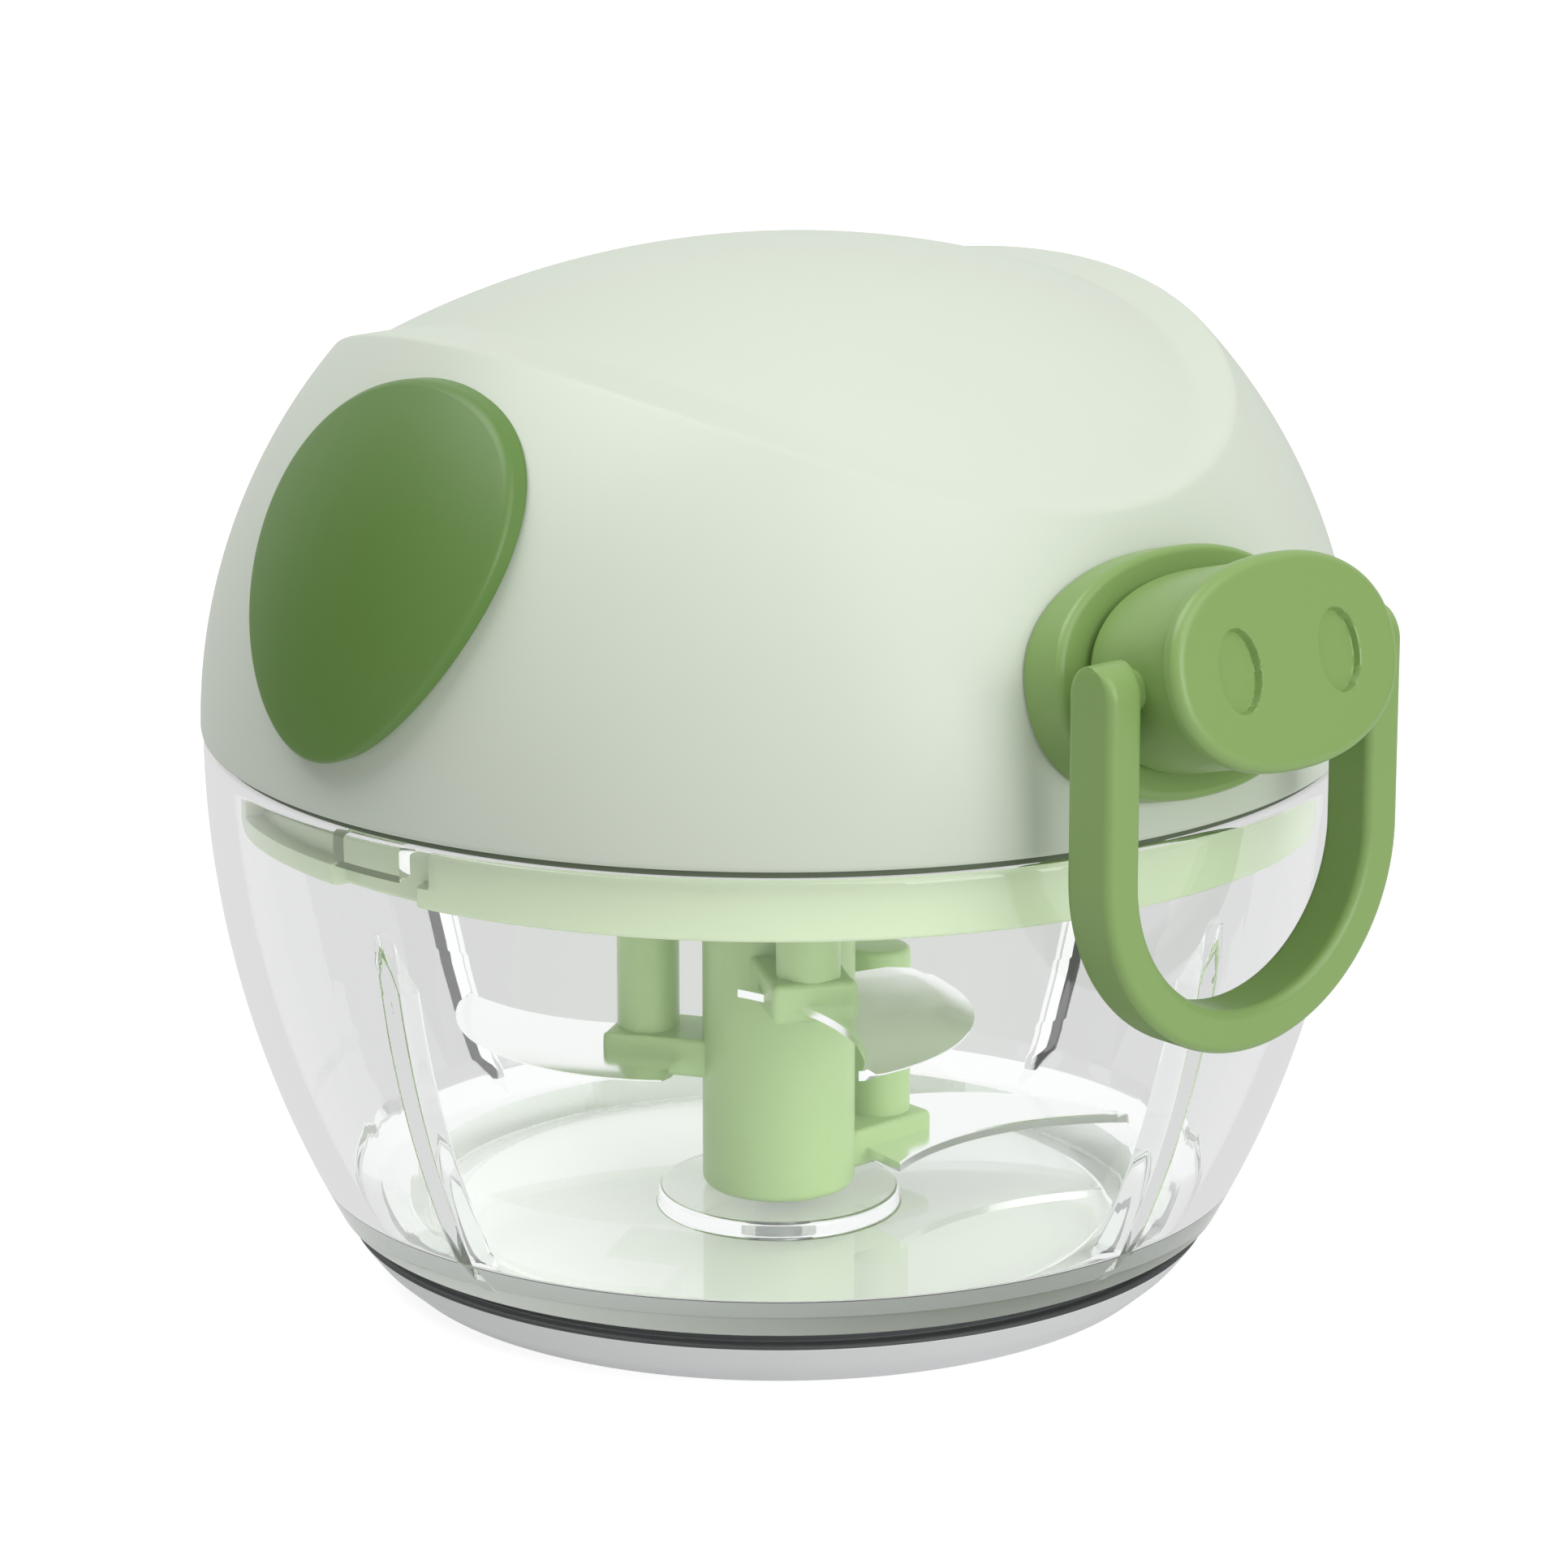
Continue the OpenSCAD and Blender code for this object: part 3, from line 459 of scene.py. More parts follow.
# gasket: flat ring on the bowl's rim; its dark tone is partly the rubber's own and partly painted shade that draws
# the shadow line between lid and bowl
gasket = {"inR": 44.1, "outR": 46.0, "lowZ": 45.0, "highZ": 45.6, "round": 0.2, "cols": 256}


# closed loop of four rounded corners, turned about the axis
def buildGasket():
    g = gasket
    loop = roundedLine([[g["inR"], g["lowZ"]], [g["outR"], g["lowZ"]], [g["outR"], g["highZ"]],
                        [g["inR"], g["highZ"]]], g["round"], closed=True, steps=5)
    angles = roundAngles(g["cols"])
    makePiece("gasketRing", [(turned(loop, angles), True, True)], gasketRubberAndShade,
              "seal", ["lid_gasket"])


buildGasket()


# lid: dome cut by a bowed crown and a ridge from ear to ear; its lip is given as radius and height over the
# lid's lower edge
lid = {"domeR": 46.8, "ridgeTop": 80.0, "ridgeBow": 83.6, "crownTop": 84.5, "crownBow": 61, "crownBowX": 80,
       "crownFar": 75, "ridgeFar": 90, "edge": 0.28, "valley": 0.22, "wall": 2.2, "lipTilt": 89.4, "inTilt": 89.2,
       "lip": [(46.74, 0.2), (46.62, 0.06), (46.42, 0), (44.8, 0), (44.62, 0.1)],
       "cols": 448, "crownRows": 62, "flatRows": 20, "sideRows": 72, "inRows": 20}


# halves the range from low to high 40 times, keeping the half where the test stops holding
def halved(test, low, high):
    for _ in range(40):
        mid = (low + high) / 2
        holds = test(mid)
        low, high = np.where(holds, mid, low), np.where(holds, high, mid)
    return low


# direction from the dome's centre: tilt is measured from straight up, angle goes round the axis
def lidWay(tilt, angle):
    return np.stack([np.sin(tilt) * np.cos(angle), np.sin(tilt) * np.sin(angle), np.cos(tilt)])


# crown: where the ray leaves a barrel bowed both ways; ridge: where it leaves a cylinder from ear to ear
def crownAndRidge(tilt, angle):
    x, y, z = lidWay(tilt, angle)
    ridgeZ = lid["ridgeTop"] - lid["ridgeBow"] - lidZ
    crownZ = lid["crownTop"] - lid["crownBow"] - lidZ
    square, drop = np.maximum(y * y + z * z, 1e-6), -ridgeZ * z
    ridge = (-drop + np.sqrt(drop * drop + square * (lid["ridgeBow"] ** 2 - ridgeZ ** 2))) / square
    near, far = np.zeros_like(x), np.full_like(x, lid["crownFar"])
    crown = halved(lambda d: np.hypot(d * y, d * z - crownZ) < lid["crownBow"] - lid["crownBowX"]
                   + np.sqrt(lid["crownBowX"] ** 2 - (d * x) ** 2), near, far)
    return crown, np.minimum(ridge, lid["ridgeFar"])


# distance along a direction: the lower of the dome and the roof, the roof being the higher of crown and ridge
def lidDistance(tilt, angle):
    crown, ridge = crownAndRidge(tilt, angle)
    return softLow(np.full_like(crown, lid["domeR"]), -softLow(-crown, -ridge, lid["valley"]), lid["edge"])


# rows of tilt close up at the valley and at the crest, then come the lip and the inner face one wall inside
def buildLid():
    angles = roundAngles(lid["cols"])
    zero, rim = np.zeros_like(angles), np.full_like(angles, math.radians(lid["lipTilt"]))
    crest = halved(lambda t: np.maximum(*crownAndRidge(t, angles)) < lid["domeR"], zero, rim)
    valley = halved(lambda t: np.subtract(*crownAndRidge(t, angles)) > 0, zero, crest)
    upTo, between, after = (np.linspace(0, 1, lid[k])[:, None] for k in ("crownRows", "flatRows", "sideRows"))
    tilt = np.concatenate([valley * (1 - (1 - upTo) ** 2),
                           valley + (crest - valley) * softStep(between)[1:],
                           crest + (rim - crest) * after[1:] ** 2])
    around = np.broadcast_to(angles, tilt.shape)
    outer = np.moveaxis(lidWay(tilt, around) * lidDistance(tilt, around), 0, -1) + [0, 0, lidZ]
    lip = turned(np.array(lid["lip"]) + [0, lidZ], angles)
    tilt, around = np.meshgrid(np.radians(np.linspace(lid["inTilt"], 0, lid["inRows"])), angles, indexing="ij")
    within = lidDistance(tilt, around) - lid["wall"]
    inner = np.moveaxis(lidWay(tilt, around) * within, 0, -1) + [0, 0, lidZ]
    makePiece("lidDome", [(np.concatenate([outer, lip, inner]), False, True)], lidPlastic,
              "lid", ["lid_shell"])


buildLid()


# ear pad: egg-shaped disc on the dome
earPad = {"halfW": 13.3, "halfH": 13.9, "mid": 64.2, "forward": 1.1, "taper": 0.22, "baseR": 46.84, "topR": 48.5,
          "edge": 0.4, "gap": 0.25, "gapTop": 0.35, "cols": 160}


# egg outline y = w sin t (1 + taper cos t), z = h cos t, shrunk in rows; x is what a sphere of the row's level
# leaves, the levels going from the dome up the wall and round the edge to the top
def buildEarPad(name, side, node):
    e = earPad
    bend = np.linspace(0, math.pi / 2, 9)
    shrink = np.concatenate([np.linspace(0, 1, 6), np.ones(4 + len(bend)), np.linspace(1, 0, 22)[1:]])
    inset = np.concatenate([np.full(8, e["gap"]), [0.05, 0], e["edge"] * (1 - np.cos(bend)),
                            np.full(21, e["edge"])])
    wallTop = e["topR"] - e["edge"]
    wall = [e["baseR"] + e["gapTop"] * 0.7, e["baseR"] + e["gapTop"], wallTop - 0.15]
    level = np.concatenate([np.full(7, e["baseR"]), wall, wallTop + e["edge"] * np.sin(bend),
                            np.full(21, e["topR"])])
    t = roundAngles(e["cols"])
    shrink, inset, level = shrink[:, None], inset[:, None], level[:, None]
    y = shrink * (e["halfW"] - inset) * np.sin(t) * (1 + e["taper"] * np.cos(t)) - e["forward"]
    z = shrink * (e["halfH"] - inset) * np.cos(t) + e["mid"]
    x = side * np.sqrt(level ** 2 - y ** 2 - (z - lidZ) ** 2)
    makePiece(name, [(np.stack([x, y, z], -1), False, True)], earGreen, "lid", [node])


buildEarPad("earPadLeft", -1, "left_ear_pad")
buildEarPad("earPadRight", 1, "right_ear_pad")


# collar and plate under the lid: turned profile with the two bayonet slots pushed in from outside
collar = {"outR": 43.8, "inR": 41.4, "lowZ": 39.6, "plateZ": 43.6, "bossR": 8, "bossZ": 41.6, "boreR": 6.03,
          "skirtR": 44.0, "skirtZ": 48, "skirtIn": 42.2, "bossTop": 49, "slotIn": 1.1, "slotTurn": 5,
          "entryHalf": 5.9, "entryTop": 42.9, "runLow": 41.4, "runHigh": 44.4, "runFrom": -25.9, "runTo": 7.4,
          "slotSoft": 0.15, "slotSoftZ": 0.1, "rows": 20, "cols": 288,
          "lowRounds": [0, 0.2, 0.4, 0.5, 0.8, 0.4, 0.4, 0], "topRounds": [0, 0, 0.3, 0.3, 0.3, 0.3, 0]}


# radius of the profile, less the slot's depth where the soft window of its entry or its run is open
def buildCollar():
    c = collar
    close = np.linspace(-0.15, 0.15, 4)
    zOut = np.unique(np.concatenate([np.linspace(c["lowZ"] + 0.5, lidZ, c["rows"]), c["runLow"] + close,
                                     c["runHigh"] + close, c["entryTop"] + close]))
    low = roundedLine([[c["boreR"], c["bossTop"]], [c["boreR"], c["bossZ"]], [c["bossR"], c["bossZ"]],
                       [c["bossR"], c["plateZ"]], [c["inR"], c["plateZ"]], [c["inR"], c["lowZ"]],
                       [c["outR"], c["lowZ"]], [c["outR"], zOut[0]]], c["lowRounds"])
    wall = np.stack([np.full(len(zOut), c["outR"]), zOut], -1)[1:]
    top = roundedLine([wall[-1], [c["skirtR"], lidZ], [c["skirtR"], c["skirtZ"]], [c["skirtIn"], c["skirtZ"]],
                       [c["skirtIn"], lidZ], [c["bossR"], lidZ], [c["bossR"], c["bossTop"]]], c["topRounds"])[1:]
    profile = np.concatenate([low, wall, top])
    edges = np.concatenate([a + np.array([-0.3, -0.1, 0.1, 0.3]) for a in
                            (c["runFrom"], -c["entryHalf"], c["entryHalf"], c["runTo"])])
    angles = anglesWith(c["cols"], [0, 180], edges + c["slotTurn"])
    off = fromNearest(angles - math.radians(c["slotTurn"]), 2)
    r, z = profile[:, :1], profile[:, 1:]
    soft, softZ = c["slotSoft"], c["slotSoftZ"]
    entry = under(np.abs(off), c["entryHalf"], soft) * under(z, c["entryTop"], softZ)
    run = (over(off, c["runFrom"], soft) * under(off, c["runTo"], soft)
           * over(z, c["runLow"], softZ) * under(z, c["runHigh"], softZ))
    outside = (r > c["outR"] - 0.45) & (z < lidZ - 0.3)
    pushed = r - c["slotIn"] * np.maximum(entry, run) * outside
    makePiece("collarPlate", [(pushedTurn(pushed, z, angles), True, True)], collarGreen,
              "lid", ["lower_cover"])


buildCollar()


# frame of the knob: across, up its face and out along its tilted axis, from the dome's centre
snoutTilt = math.radians(15)
acrossWay = np.array([1.0, 0, 0])
upWay = np.array([0, math.sin(snoutTilt), math.cos(snoutTilt)])
outWay = np.array([0, -math.cos(snoutTilt), math.sin(snoutTilt)])


# points across, up and out of the knob's frame, put in the part's frame
def onSnout(x, y, h):
    return x[..., None] * acrossWay + y[..., None] * upWay + h[..., None] * outWay + np.array([0, 0, lidZ])


# oval a little fuller than an ellipse: each of cosine and sine raised to 0.9, keeping its sign
def oval(halfW, halfH, t, full=0.9):
    c, s = np.cos(t), np.sin(t)
    return halfW * np.sign(c) * np.abs(c) ** full, halfH * np.sign(s) * np.abs(s) ** full


# stack of outlines: share 1 is the oval less its inset, share 0 the round hole
def ovalRows(halfW, halfH, hole, share, inset, t):
    share, inset = np.asarray(share, float)[:, None], np.asarray(inset, float)[:, None]
    x, y = oval(1, 1, t)
    x, y = x * (halfW - inset), y * (halfH - inset)
    return share * x + (1 - share) * hole * np.cos(t), share * y + (1 - share) * hole * np.sin(t)


quarter = np.linspace(0, math.pi / 2, 8)
roundT = roundAngles(160)

# guide: oval flange on the dome with a rounded rim, its neck through the lid and the cord's hole
guide = {"halfW": 13.5, "halfH": 9.5, "face": 49.0, "seatR": 46.84, "edge": 0.7, "neckR": 5.5, "back": 41.98,
         "hole": 1.15}


# rows from the hole over the face and round the rim to the dome, then back along the neck
def buildGuide():
    g = guide
    share = np.concatenate([[0, 0.04], np.linspace(0.1, 1, 10), np.ones(len(quarter) + 3)])
    inset = np.concatenate([np.full(12, g["edge"]), g["edge"] * (1 - np.sin(quarter)), [0, 0, 0.3]])
    x, y = ovalRows(g["halfW"], g["halfH"], g["hole"], share, inset, roundT)
    seat = np.sqrt(g["seatR"] ** 2 - x ** 2 - y ** 2)
    rim = g["face"] - g["edge"] * (1 - np.cos(quarter))
    h = np.concatenate([[g["face"] - 0.2], np.full(11, g["face"]), rim, [0, 0, 0]])[:, None] + 0 * x
    h[-3] = (h[-4] + seat[-3]) / 2
    h[-2] = seat[-2] + 0.25
    h[-1] = seat[-1]
    neckX, neckY = g["neckR"] * np.cos(roundT), g["neckR"] * np.sin(roundT)
    nearX, nearY = (x[-1] + neckX) / 2, (y[-1] + neckY) / 2
    holeX, holeY = g["hole"] * np.cos(roundT), g["hole"] * np.sin(roundT)
    x = np.concatenate([x, [nearX, neckX, neckX, holeX]])
    y = np.concatenate([y, [nearY, neckY, neckY, holeY]])
    flat = np.ones_like(roundT)
    nearSeat = np.sqrt(g["seatR"] ** 2 - nearX ** 2 - nearY ** 2)
    neckSeat = np.sqrt(g["seatR"] ** 2 - g["neckR"] ** 2)
    h = np.concatenate([h, [nearSeat, neckSeat * flat, g["back"] * flat, g["back"] * flat]])
    makePiece("cordGuide", [(onSnout(x, y, h), True, True)], snoutGreen,
              "lid", ["cord_guide"])


buildGuide()


# knob's cup: oval wall closed at the back, open at the front under the cap
cup = {"halfW": 11.1, "halfH": 7.6, "back": 49.3, "front": 57.97, "wall": 2.6, "floor": 52.3, "hole": 1.15,
       "edge": 0.8, "frontEdge": 0.2}


# rows from the hole over the back, up the wall, over the front edge and down to the floor inside
def buildCup():
    c = cup
    count = len(quarter)
    share = np.concatenate([[0, 0.05, 0.4, 0.9], np.ones(2 * count + 8), [0.6, 0.2, 0]])
    inset = np.concatenate([np.full(4, c["edge"]), c["edge"] * (1 - np.sin(quarter)), np.zeros(6),
                            c["frontEdge"] * (1 - np.cos(quarter)), np.full(5, c["wall"])])
    h = np.concatenate([np.full(4, c["back"]), c["back"] + c["edge"] * (1 - np.cos(quarter)),
                        np.linspace(c["back"] + c["edge"], c["front"] - c["frontEdge"], 8)[1:-1],
                        c["front"] - c["frontEdge"] * (1 - np.sin(quarter)), [c["front"]], np.full(4, c["floor"])])
    x, y = ovalRows(c["halfW"], c["halfH"], c["hole"], share, inset, roundT)
    makePiece("snoutCup", [(onSnout(x, y, h[:, None] + 0 * x), True, True)], snoutGreen,
              "knob", ["snout_cup"])


buildCup()


# knob's cap: oval lid with a rounded rim and two shallow nostrils
cap = {"halfW": 11.6, "halfH": 8.1, "back": 58.0, "front": 59.6, "edge": 0.9, "backEdge": 0.3,
       "nostrilX": 5.2, "nostrilW": 2.1, "nostrilH": 3.25, "nostrilDeep": 0.65, "nostrilWall": 0.16,
       "plugIn": 3.15, "plugBack": 56.7, "rows": 110, "cols": 320}


# rows from the middle of the face round the rim to the back and its plug; the face sinks by a soft step inside
# each nostril's ellipse
def buildCap():
    c = cap
    t = roundAngles(c["cols"])
    rim = np.linspace(0, math.pi / 2, 10)
    low = np.linspace(0, math.pi / 2, 5)
    share = np.concatenate([np.linspace(0, 1, c["rows"]), np.ones(len(rim) + len(low) + 2), [0]])
    inset = np.concatenate([np.full(c["rows"], c["edge"]), c["edge"] * (1 - np.sin(rim)),
                            c["backEdge"] * (1 - np.cos(low)), np.full(3, c["plugIn"])])
    h = np.concatenate([np.full(c["rows"], c["front"]), c["front"] - c["edge"] * (1 - np.cos(rim)),
                        c["back"] + c["backEdge"] * (1 - np.sin(low)),
                        [c["back"], c["plugBack"], c["plugBack"]]])
    x, y = ovalRows(c["halfW"], c["halfH"], 0, share, inset, t)
    # 0 on a nostril's outline, above 0 inside it
    gap = 1 - np.hypot((np.abs(x) - c["nostrilX"]) / c["nostrilW"], y / c["nostrilH"])
    dish = softStep(gap * c["nostrilW"] / c["nostrilWall"])
    face = (np.arange(len(h)) < c["rows"])[:, None]
    h = h[:, None] - c["nostrilDeep"] * dish * face
    makePiece("snoutCap", [(onSnout(x, y, h), False, True)], snoutGreen, "knob", ["snout_cap"])


buildCap()


# pull ring: rounded bar with a stud at each end that reaches into the knob
ring = {"inR": 12.0, "wide": 3.4, "deep": 4.8, "arm": 14.1, "edge": 0.8, "studR": 1.57, "studLong": 3.0,
        "studSink": 0.6, "pivotOut": 54.0, "endRows": 12, "armRows": 9, "turnRows": 71,
        "studCols": 40}


# rounded section carried down one arm, round a half circle and up the other arm, thinned to a half circle at
# both ends
def buildRing():
    r = ring
    pivot = np.array([0, 0, lidZ]) + outWay * r["pivotOut"]
    end = np.linspace(math.pi / 2, 0, r["endRows"])
    straight = np.linspace(0, 1, r["armRows"] + 1)[1:]
    turn = np.linspace(0, math.pi, r["turnRows"] + 1)[1:]
    middle = r["inR"] + r["wide"] / 2
    arm = np.ones(r["endRows"] + r["armRows"])
    pathX = np.concatenate([-middle * arm, -middle * np.cos(turn), middle * arm])
    rise = np.concatenate([r["deep"] / 2 * np.sin(end), -r["arm"] * straight])
    pathZ = np.concatenate([rise, -r["arm"] - middle * np.sin(turn), rise[::-1]])
    side = np.concatenate([np.stack([arm, 0 * arm], -1), np.stack([np.cos(turn), np.sin(turn)], -1),
                           np.stack([-arm, 0 * arm], -1)])
    thin = np.concatenate([np.cos(end), np.ones(r["armRows"])])
    depth = np.concatenate([thin, np.ones(len(turn)), thin[::-1]])
    w, d = r["wide"] / 2, r["deep"] / 2
    section = roundedLine([[-w, -d], [w, -d], [w, d], [-w, d]], r["edge"], closed=True, steps=7)
    x = pathX[:, None] + section[:, 0] * side[:, :1]
    z = pathZ[:, None] + section[:, 0] * side[:, 1:]
    y = section[:, 1] * depth[:, None]
    bar = np.stack([x, y, z], -1) + pivot
    studEnd, studStart = r["inR"] - r["studLong"], r["inR"] + r["studSink"]
    stud = roundedLine([[0, studEnd], [r["studR"], studEnd], [r["studR"], studStart], [0, studStart]],
                       [0, 0.3, 0, 0])
    across, along, out = np.moveaxis(turned(stud, roundAngles(r["studCols"])), -1, 0)
    studs = [(np.stack([s * out, across, along], -1) + pivot, False, True) for s in (-1, 1)]
    makePiece("pullRing", [(bar, False, True)] + studs, snoutGreen, "ring", ["pull_ring"])


buildRing()


# hub: rounded tube, three blocks that carry the blades and a post on each
hub = {"r": 6.3, "lowZ": 6.1, "highZ": 41.3, "bore": 2.05, "hexBore": 3.95, "hexZ": 24.5, "armFrom": 3.0,
       "armReach": 14.3, "armW": 7.0, "armH": 3.2, "postR": 2.6, "postAt": 11.4, "postFrom": 1, "edge": 0.5,
       "tubeRounds": [0.3, 0.7, 0.5, 0.3, 0, 0], "cols": 96}
# angle, height, the post's top and the blade's own lead of each arm
arms = {"lower_blade": (1, 6.6, 24.0, -9), "middle_blade": (121, 15.3, 39.8, 0), "upper_blade": (241, 24, 39.8, 14)}


# points turned by an angle in degrees about the z axis
def spun(points, degrees):
    c, s = math.cos(math.radians(degrees)), math.sin(math.radians(degrees))
    return points @ np.array([[c, s, 0], [-s, c, 0], [0, 0, 1]])


# rounded bar from x0 to x1: rounded section, shrunk towards its middle over the last edge of its length
def roundedBar(x0, x1, y, z0, z1, edge):
    bend = np.linspace(0, math.pi / 2, 6)
    x = np.concatenate([[x0, x0], x1 - edge + edge * np.sin(bend), [x1]])
    inset = np.concatenate([[0, 0], edge * (1 - np.cos(bend)), [edge]])
    shrink = np.concatenate([[0], np.ones(len(bend) + 1), [0]])[:, None]
    loop = roundedLine([[-y, z0], [y, z0], [y, z1], [-y, z1]], edge, closed=True, steps=6)
    centre = np.array([0, (z0 + z1) / 2])
    away = loop - centre
    size = np.array([y, (z1 - z0) / 2])
    flat = centre + away[None] * (shrink[..., None] * (1 - inset[:, None, None] / size))
    return np.stack([np.broadcast_to(x[:, None], flat.shape[:2]), flat[..., 0], flat[..., 1]], -1)


# turned tube, then for each arm a rounded bar and a turned post, turned to the arm's angle
def buildHub():
    h = hub
    angles = roundAngles(h["cols"])
    tube = roundedLine([[h["bore"], h["lowZ"]], [h["r"], h["lowZ"]], [h["r"], h["highZ"]],
                        [h["hexBore"], h["highZ"]], [h["hexBore"], h["hexZ"]], [h["bore"], h["hexZ"]]],
                       h["tubeRounds"], closed=True)
    grids = [(turned(tube, angles), True, True)]
    for angle, z, top, _ in arms.values():
        block = roundedBar(h["armFrom"], h["armReach"], h["armW"] / 2, z, z + h["armH"], h["edge"])
        low = z + h["postFrom"]
        post = roundedLine([[0, low], [h["postR"], low], [h["postR"], top], [0, top]], [0, 0, h["edge"], 0])
        for grid in (block, turned(post, angles[::2]) + [h["postAt"], 0, 0]):
            grids.append((spun(grid, angle), False, True))
    makePiece("bladeHub", grids, hubGreen, "rotor", ["blade_hub"])


buildHub()


# blade: sickle between a belly arc and a hollow arc, given as x, y and radius, with the belly ground thin
blade = {"reach": 31.6, "belly": (12.3, -9.9, 19.0), "hollow": (18.5, -25.0, 21.0), "root": 7.3, "thick": 0.8,
         "lift": 0.8, "ground": 2.2, "keen": 0.12, "blunt": 0.08, "bluntIn": 0.02, "rows": 72}


# crossing of two circles given as (x, y, r), the one further out along x
def circleMeet(a, b):
    d = math.hypot(b[0] - a[0], b[1] - a[1])
    along = (a[2] ** 2 - b[2] ** 2 + d * d) / (2 * d)
    off = math.sqrt(max(a[2] ** 2 - along ** 2, 0))
    ux, uy = (b[0] - a[0]) / d, (b[1] - a[1]) / d
    both = [(a[0] + along * ux - s * off * uy, a[1] + along * uy + s * off * ux) for s in (-1, 1)]
    return max(both)


# both edges are arcs from the root to the point where they meet, kept inside the reach; each row has eight points
# from one edge to the other and back underneath
def buildBlade(name, node):
    b = blade
    angle, z, _, lead = arms[node]
    tip = circleMeet(b["belly"], b["hollow"])
    share = np.linspace(0, 1, b["rows"])
    edges = []
    for x, y, r in (b["belly"], b["hollow"]):
        start = math.atan2(math.sqrt(r ** 2 - (b["root"] - x) ** 2), b["root"] - x)
        a = start + (math.atan2(tip[1] - y, tip[0] - x) - start) * share
        edge = np.stack([x + r * np.cos(a), y + r * np.sin(a)], -1)
        edges.append(edge * np.minimum(1, b["reach"] / np.linalg.norm(edge, axis=1))[:, None])
    front, back = edges
    width = np.linalg.norm(front - back, axis=1)[:, None]
    ground = np.minimum(b["ground"] / np.maximum(width, 1e-6), 0.6)
    high, blunt, keen = b["thick"], b["blunt"], (b["thick"] - b["keen"]) / 2
    one, zero = np.ones_like(width), np.zeros_like(width)
    corner = b["bluntIn"] * one
    across = np.concatenate([corner, zero, zero, corner, 1 - ground, one, one, 1 - ground], 1)
    level = np.array([0, blunt, high - blunt, high, high, high - keen, keen, 0])
    flat = back[:, None] * (1 - across[..., None]) + front[:, None] * across[..., None]
    grid = np.concatenate([flat, np.broadcast_to(level[None, :, None], (*across.shape, 1))], -1)
    ends = [np.broadcast_to(g.mean(0), g.shape)[None] for g in (grid[0], grid[-1])]
    grid = np.concatenate([ends[0], grid, ends[1]]) + [0, 0, z + b["lift"]]
    makePiece(name, [(spun(grid, angle + lead), False, True)], bladeSteel,
              "rotor", [node], sharp=20)


buildBlade("bladeLower", "lower_blade")
buildBlade("bladeMiddle", "middle_blade")
buildBlade("bladeUpper", "upper_blade")


# cord from the drum to the guide's eye and out to the knot
cordRun = {"start": (11.49, -13.61, 55.71), "eye": (0, -40.55, 56.5), "end": (0, -50.5, 59.13), "r": 0.85,
           "bend": 0.1, "rows": 24, "sides": 24}


# circle carried along a straight stretch, a quadratic bend at the eye and a second straight stretch
def buildCord():
    c = cordRun
    start, eye, end = (np.array(c[k]) for k in ("start", "eye", "end"))
    s = np.linspace(0, 1, c["rows"])[:, None]
    into, outOf = eye + (start - eye) * c["bend"], eye + (end - eye) * c["bend"]
    line = np.concatenate([start + (into - start) * s[:-1],
                           into * (1 - s) ** 2 + 2 * eye * s * (1 - s) + outOf * s ** 2,
                           outOf + (end - outOf) * s[1:]])
    way = np.gradient(line, axis=0)
    way /= np.linalg.norm(way, axis=1)[:, None]
    side = np.cross(way, [0, 0, 1.0])
    side /= np.linalg.norm(side, axis=1)[:, None]
    upward = np.cross(side, way)
    t = roundAngles(c["sides"])[None, :, None]
    tube = line[:, None] + c["r"] * (np.cos(t) * side[:, None] + np.sin(t) * upward[:, None])
    ends = [np.broadcast_to(p, (1, c["sides"], 3)) for p in (line[0], line[-1])]
    capped = np.concatenate([ends[0], tube, ends[1]])
    piece = makePiece("cordPull", [(capped, False, True)], cordYarn, None, ["cord_run"])
    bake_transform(piece)


buildCord()


# inner pieces keep their solids and get their own finish
innerFinishes = {
    "pivot_pin": turnedSteel, "guide_clip": springSteel, "cover_screws": turnedSteel,
    "shaft_bush": acetalPlastic, "spindle": turnedSteel, "spool": whitePlastic,
    "wound_cord": cordYarn, "rewind_spring": springSteel, "spring_cover": whitePlastic,
    "drive_shaft": turnedSteel, "clutch_pawls": acetalPlastic, "cord_knot": cordYarn}
for node, finish in innerFinishes.items():
    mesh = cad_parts[node].data
    mesh.materials.clear()
    mesh.materials.append(finish)
print("inner pieces finished")


# room: white to the eye, greyer in gloss and through the bowl, softer where it lights the outside, stronger for
# what stands inside the bowl and only gets its light through the wall
# all levels are strengths, 1 is white; sizes in metres
room = {"ambient": 0.42, "seen": 1.0, "through": 0.73, "inside": 1.6, "insideGloss": 0.32, "floorGlow": 0.36,
        "floorInside": 0.2, "floorLift": 0.79, "floorTone": 0.38, "floorHalf": 6.0, "floorDrop": 0.0001}


# for the ray at hand, 0 or 1 each: seen by the camera, mirrored or bent, and two for rays that leave what is
# seen through the bowl's wall: all of them, and the soft ones
def rayKinds(tree):
    path = tree.nodes.new("ShaderNodeLightPath")
    deep = addNode(tree, "ShaderNodeMath", {1: 1.5}, operation="GREATER_THAN")
    tree.links.new(path.outputs["Transmission Depth"], deep.inputs[0])
    kinds = [path.outputs["Is Camera Ray"], path.outputs["Is Glossy Ray"]]
    for ray in ("Is Reflection Ray", "Is Diffuse Ray"):
        within = addNode(tree, "ShaderNodeMath", operation="MULTIPLY")
        tree.links.new(deep.outputs[0], within.inputs[0])
        tree.links.new(path.outputs[ray], within.inputs[1])
        kinds.append(within.outputs[0])
    return kinds


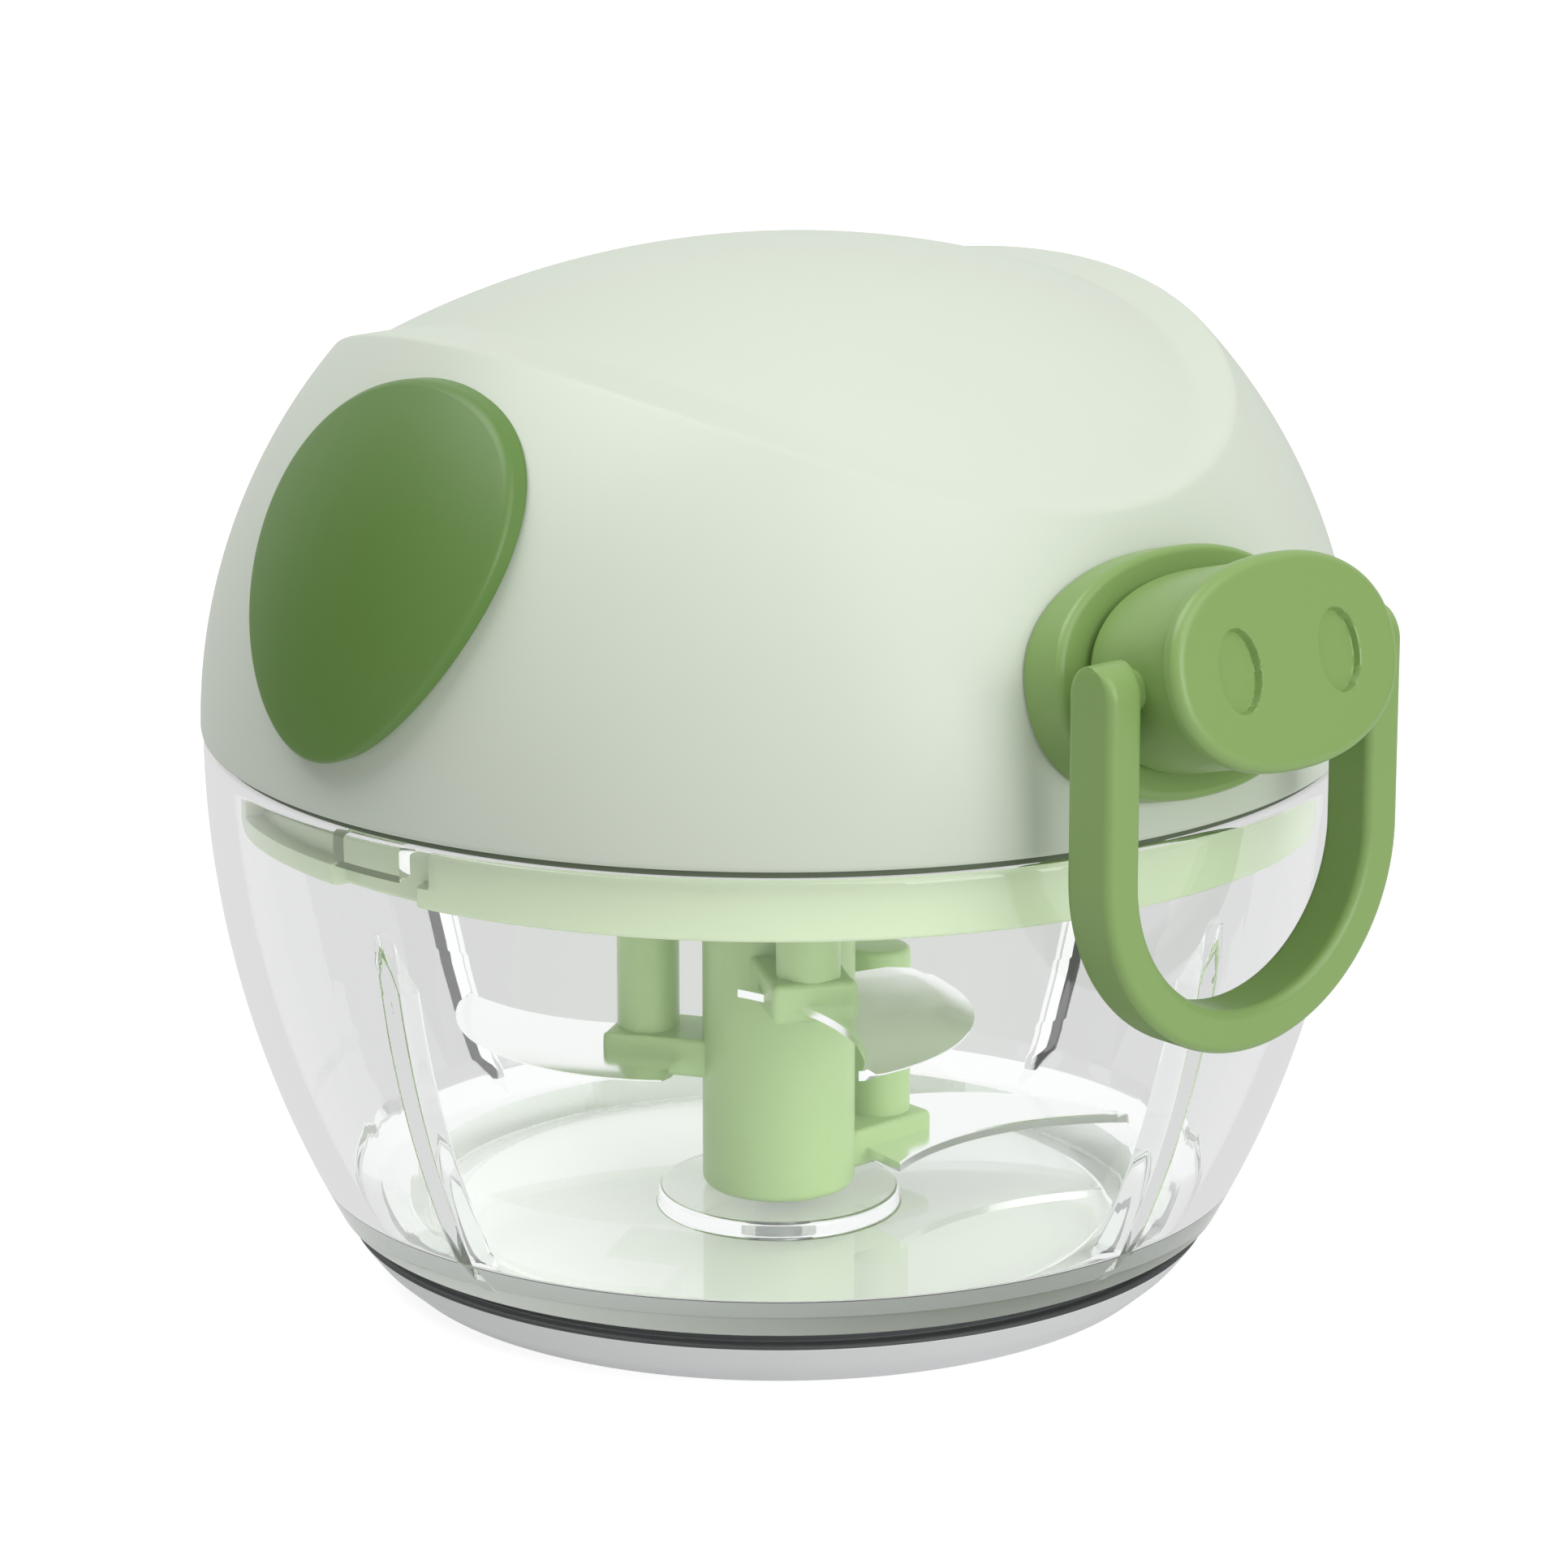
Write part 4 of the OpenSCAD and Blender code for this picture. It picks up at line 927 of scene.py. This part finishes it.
# level for a tree: base, plus a share of its own for each kind of ray
def levelInto(tree, socket, base, *shares):
    last = None
    for kind, share in zip(rayKinds(tree), shares):
        step = addNode(tree, "ShaderNodeMath", {1: share, 2: base}, operation="MULTIPLY_ADD")
        tree.links.new(kind, step.inputs[0])
        if last:
            tree.links.new(last, step.inputs[2])
        last = step.outputs[0]
    tree.links.new(last, socket)


world = bpy.data.worlds.new("whiteRoom")
world.use_nodes = True
bpy.context.scene.world = world
worldShader = world.node_tree.nodes["Background"]
worldShader.inputs["Color"].default_value = (1, 1, 1, 1)
levelInto(world.node_tree, worldShader.inputs["Strength"], room["ambient"], room["seen"] - room["ambient"],
          room["through"] - room["ambient"], room["insideGloss"], room["inside"] - room["insideGloss"])

floorMesh = bpy.data.meshes.new("paleFloor")
floorCorners = room["floorHalf"] * np.array([(-1, -1, 0), (1, -1, 0), (1, 1, 0), (-1, 1, 0)])
floorMesh.from_pydata((floorCorners - [0, 0, room["floorDrop"]]).tolist(), [], [(0, 1, 2, 3)])
paleFloor = bpy.data.objects.new("paleFloor", floorMesh)
bpy.context.scene.collection.objects.link(paleFloor)
floorFinish, floorTree, floorShader = newFinish("floorFinish", Roughness=0.9, Specular_IOR_Level=0.1)
levelInto(floorTree, floorShader.inputs["Emission Strength"], room["floorGlow"],
          room["floorLift"] - room["floorGlow"], room["through"] - room["floorGlow"],
          room["insideGloss"], room["floorInside"] - room["insideGloss"])
levelInto(floorTree, floorShader.inputs["Base Color"], room["floorTone"], 0, -room["floorTone"])
floorShader.inputs["Emission Color"].default_value = (1, 1, 1, 1)
floorMesh.materials.append(floorFinish)


# lamps: place, side of the square panel and power of each
lamps = {"keyPanel": ((0.05, -0.8, 0.7), 0.9, 4.0), "frontPanel": ((-0.03, -0.9, 0.16), 0.5, 2.3),
         "topPanel": ((-0.36, 0.3, 1.0), 0.8, 6.8)}
lampAim = (0, 0, 0.05)


# square panel turned so that it looks at the aim
def addLamp(name, place, side, power):
    data = bpy.data.lights.new(name, "AREA")
    data.size, data.energy = side, power
    lamp = bpy.data.objects.new(name, data)
    lamp.location = place
    back = np.array(place) - np.array(lampAim)
    tilt = math.acos(back[2] / np.linalg.norm(back))
    lamp.rotation_euler = (tilt, 0, math.atan2(back[1], back[0]) + math.pi / 2)
    bpy.context.scene.collection.objects.link(lamp)


for name, settings in lamps.items():
    addLamp(name, *settings)


# cards: foot, width and height of each, and whether it dims
cards = {"leftCard": ((-0.24, 0.21, 0.0), 0.22, 0.3, False), "rightCard": ((0.24, -0.21, 0.0), 0.22, 0.3, False),
         "leftDimmer": ((-0.26, 0.05, 0.002), 0.42, 0.3, True)}


# upright dark card that faces the part: in gloss and through the bowl it draws grey edges; one that dims is only
# met by soft light and keeps a side of the part darker
def addCard(name, place, wide, high, dims):
    mesh = bpy.data.meshes.new(name)
    along = np.array([-place[1], place[0], 0]) / math.hypot(place[0], place[1]) * wide / 2
    up = np.array([0, 0, high])
    base = np.array(place)
    corners = np.array([base - along, base + along, base + along + up, base - along + up])
    mesh.from_pydata(corners.tolist(), [], [(0, 1, 2, 3)])
    card = bpy.data.objects.new(name, mesh)
    card.visible_camera = card.visible_shadow = False
    card.visible_diffuse = dims
    card.visible_glossy = card.visible_transmission = not dims
    mesh.materials.append(cardFinish)
    bpy.context.scene.collection.objects.link(card)


cardFinish = newFinish("cardFinish", Base_Color=(0.1, 0.1, 0.1, 1), Roughness=0.9,
                       Specular_IOR_Level=0.0)[0]
for name, settings in cards.items():
    addCard(name, *settings)
bpy.context.scene.view_settings.view_transform = "Standard"
print("room lit")
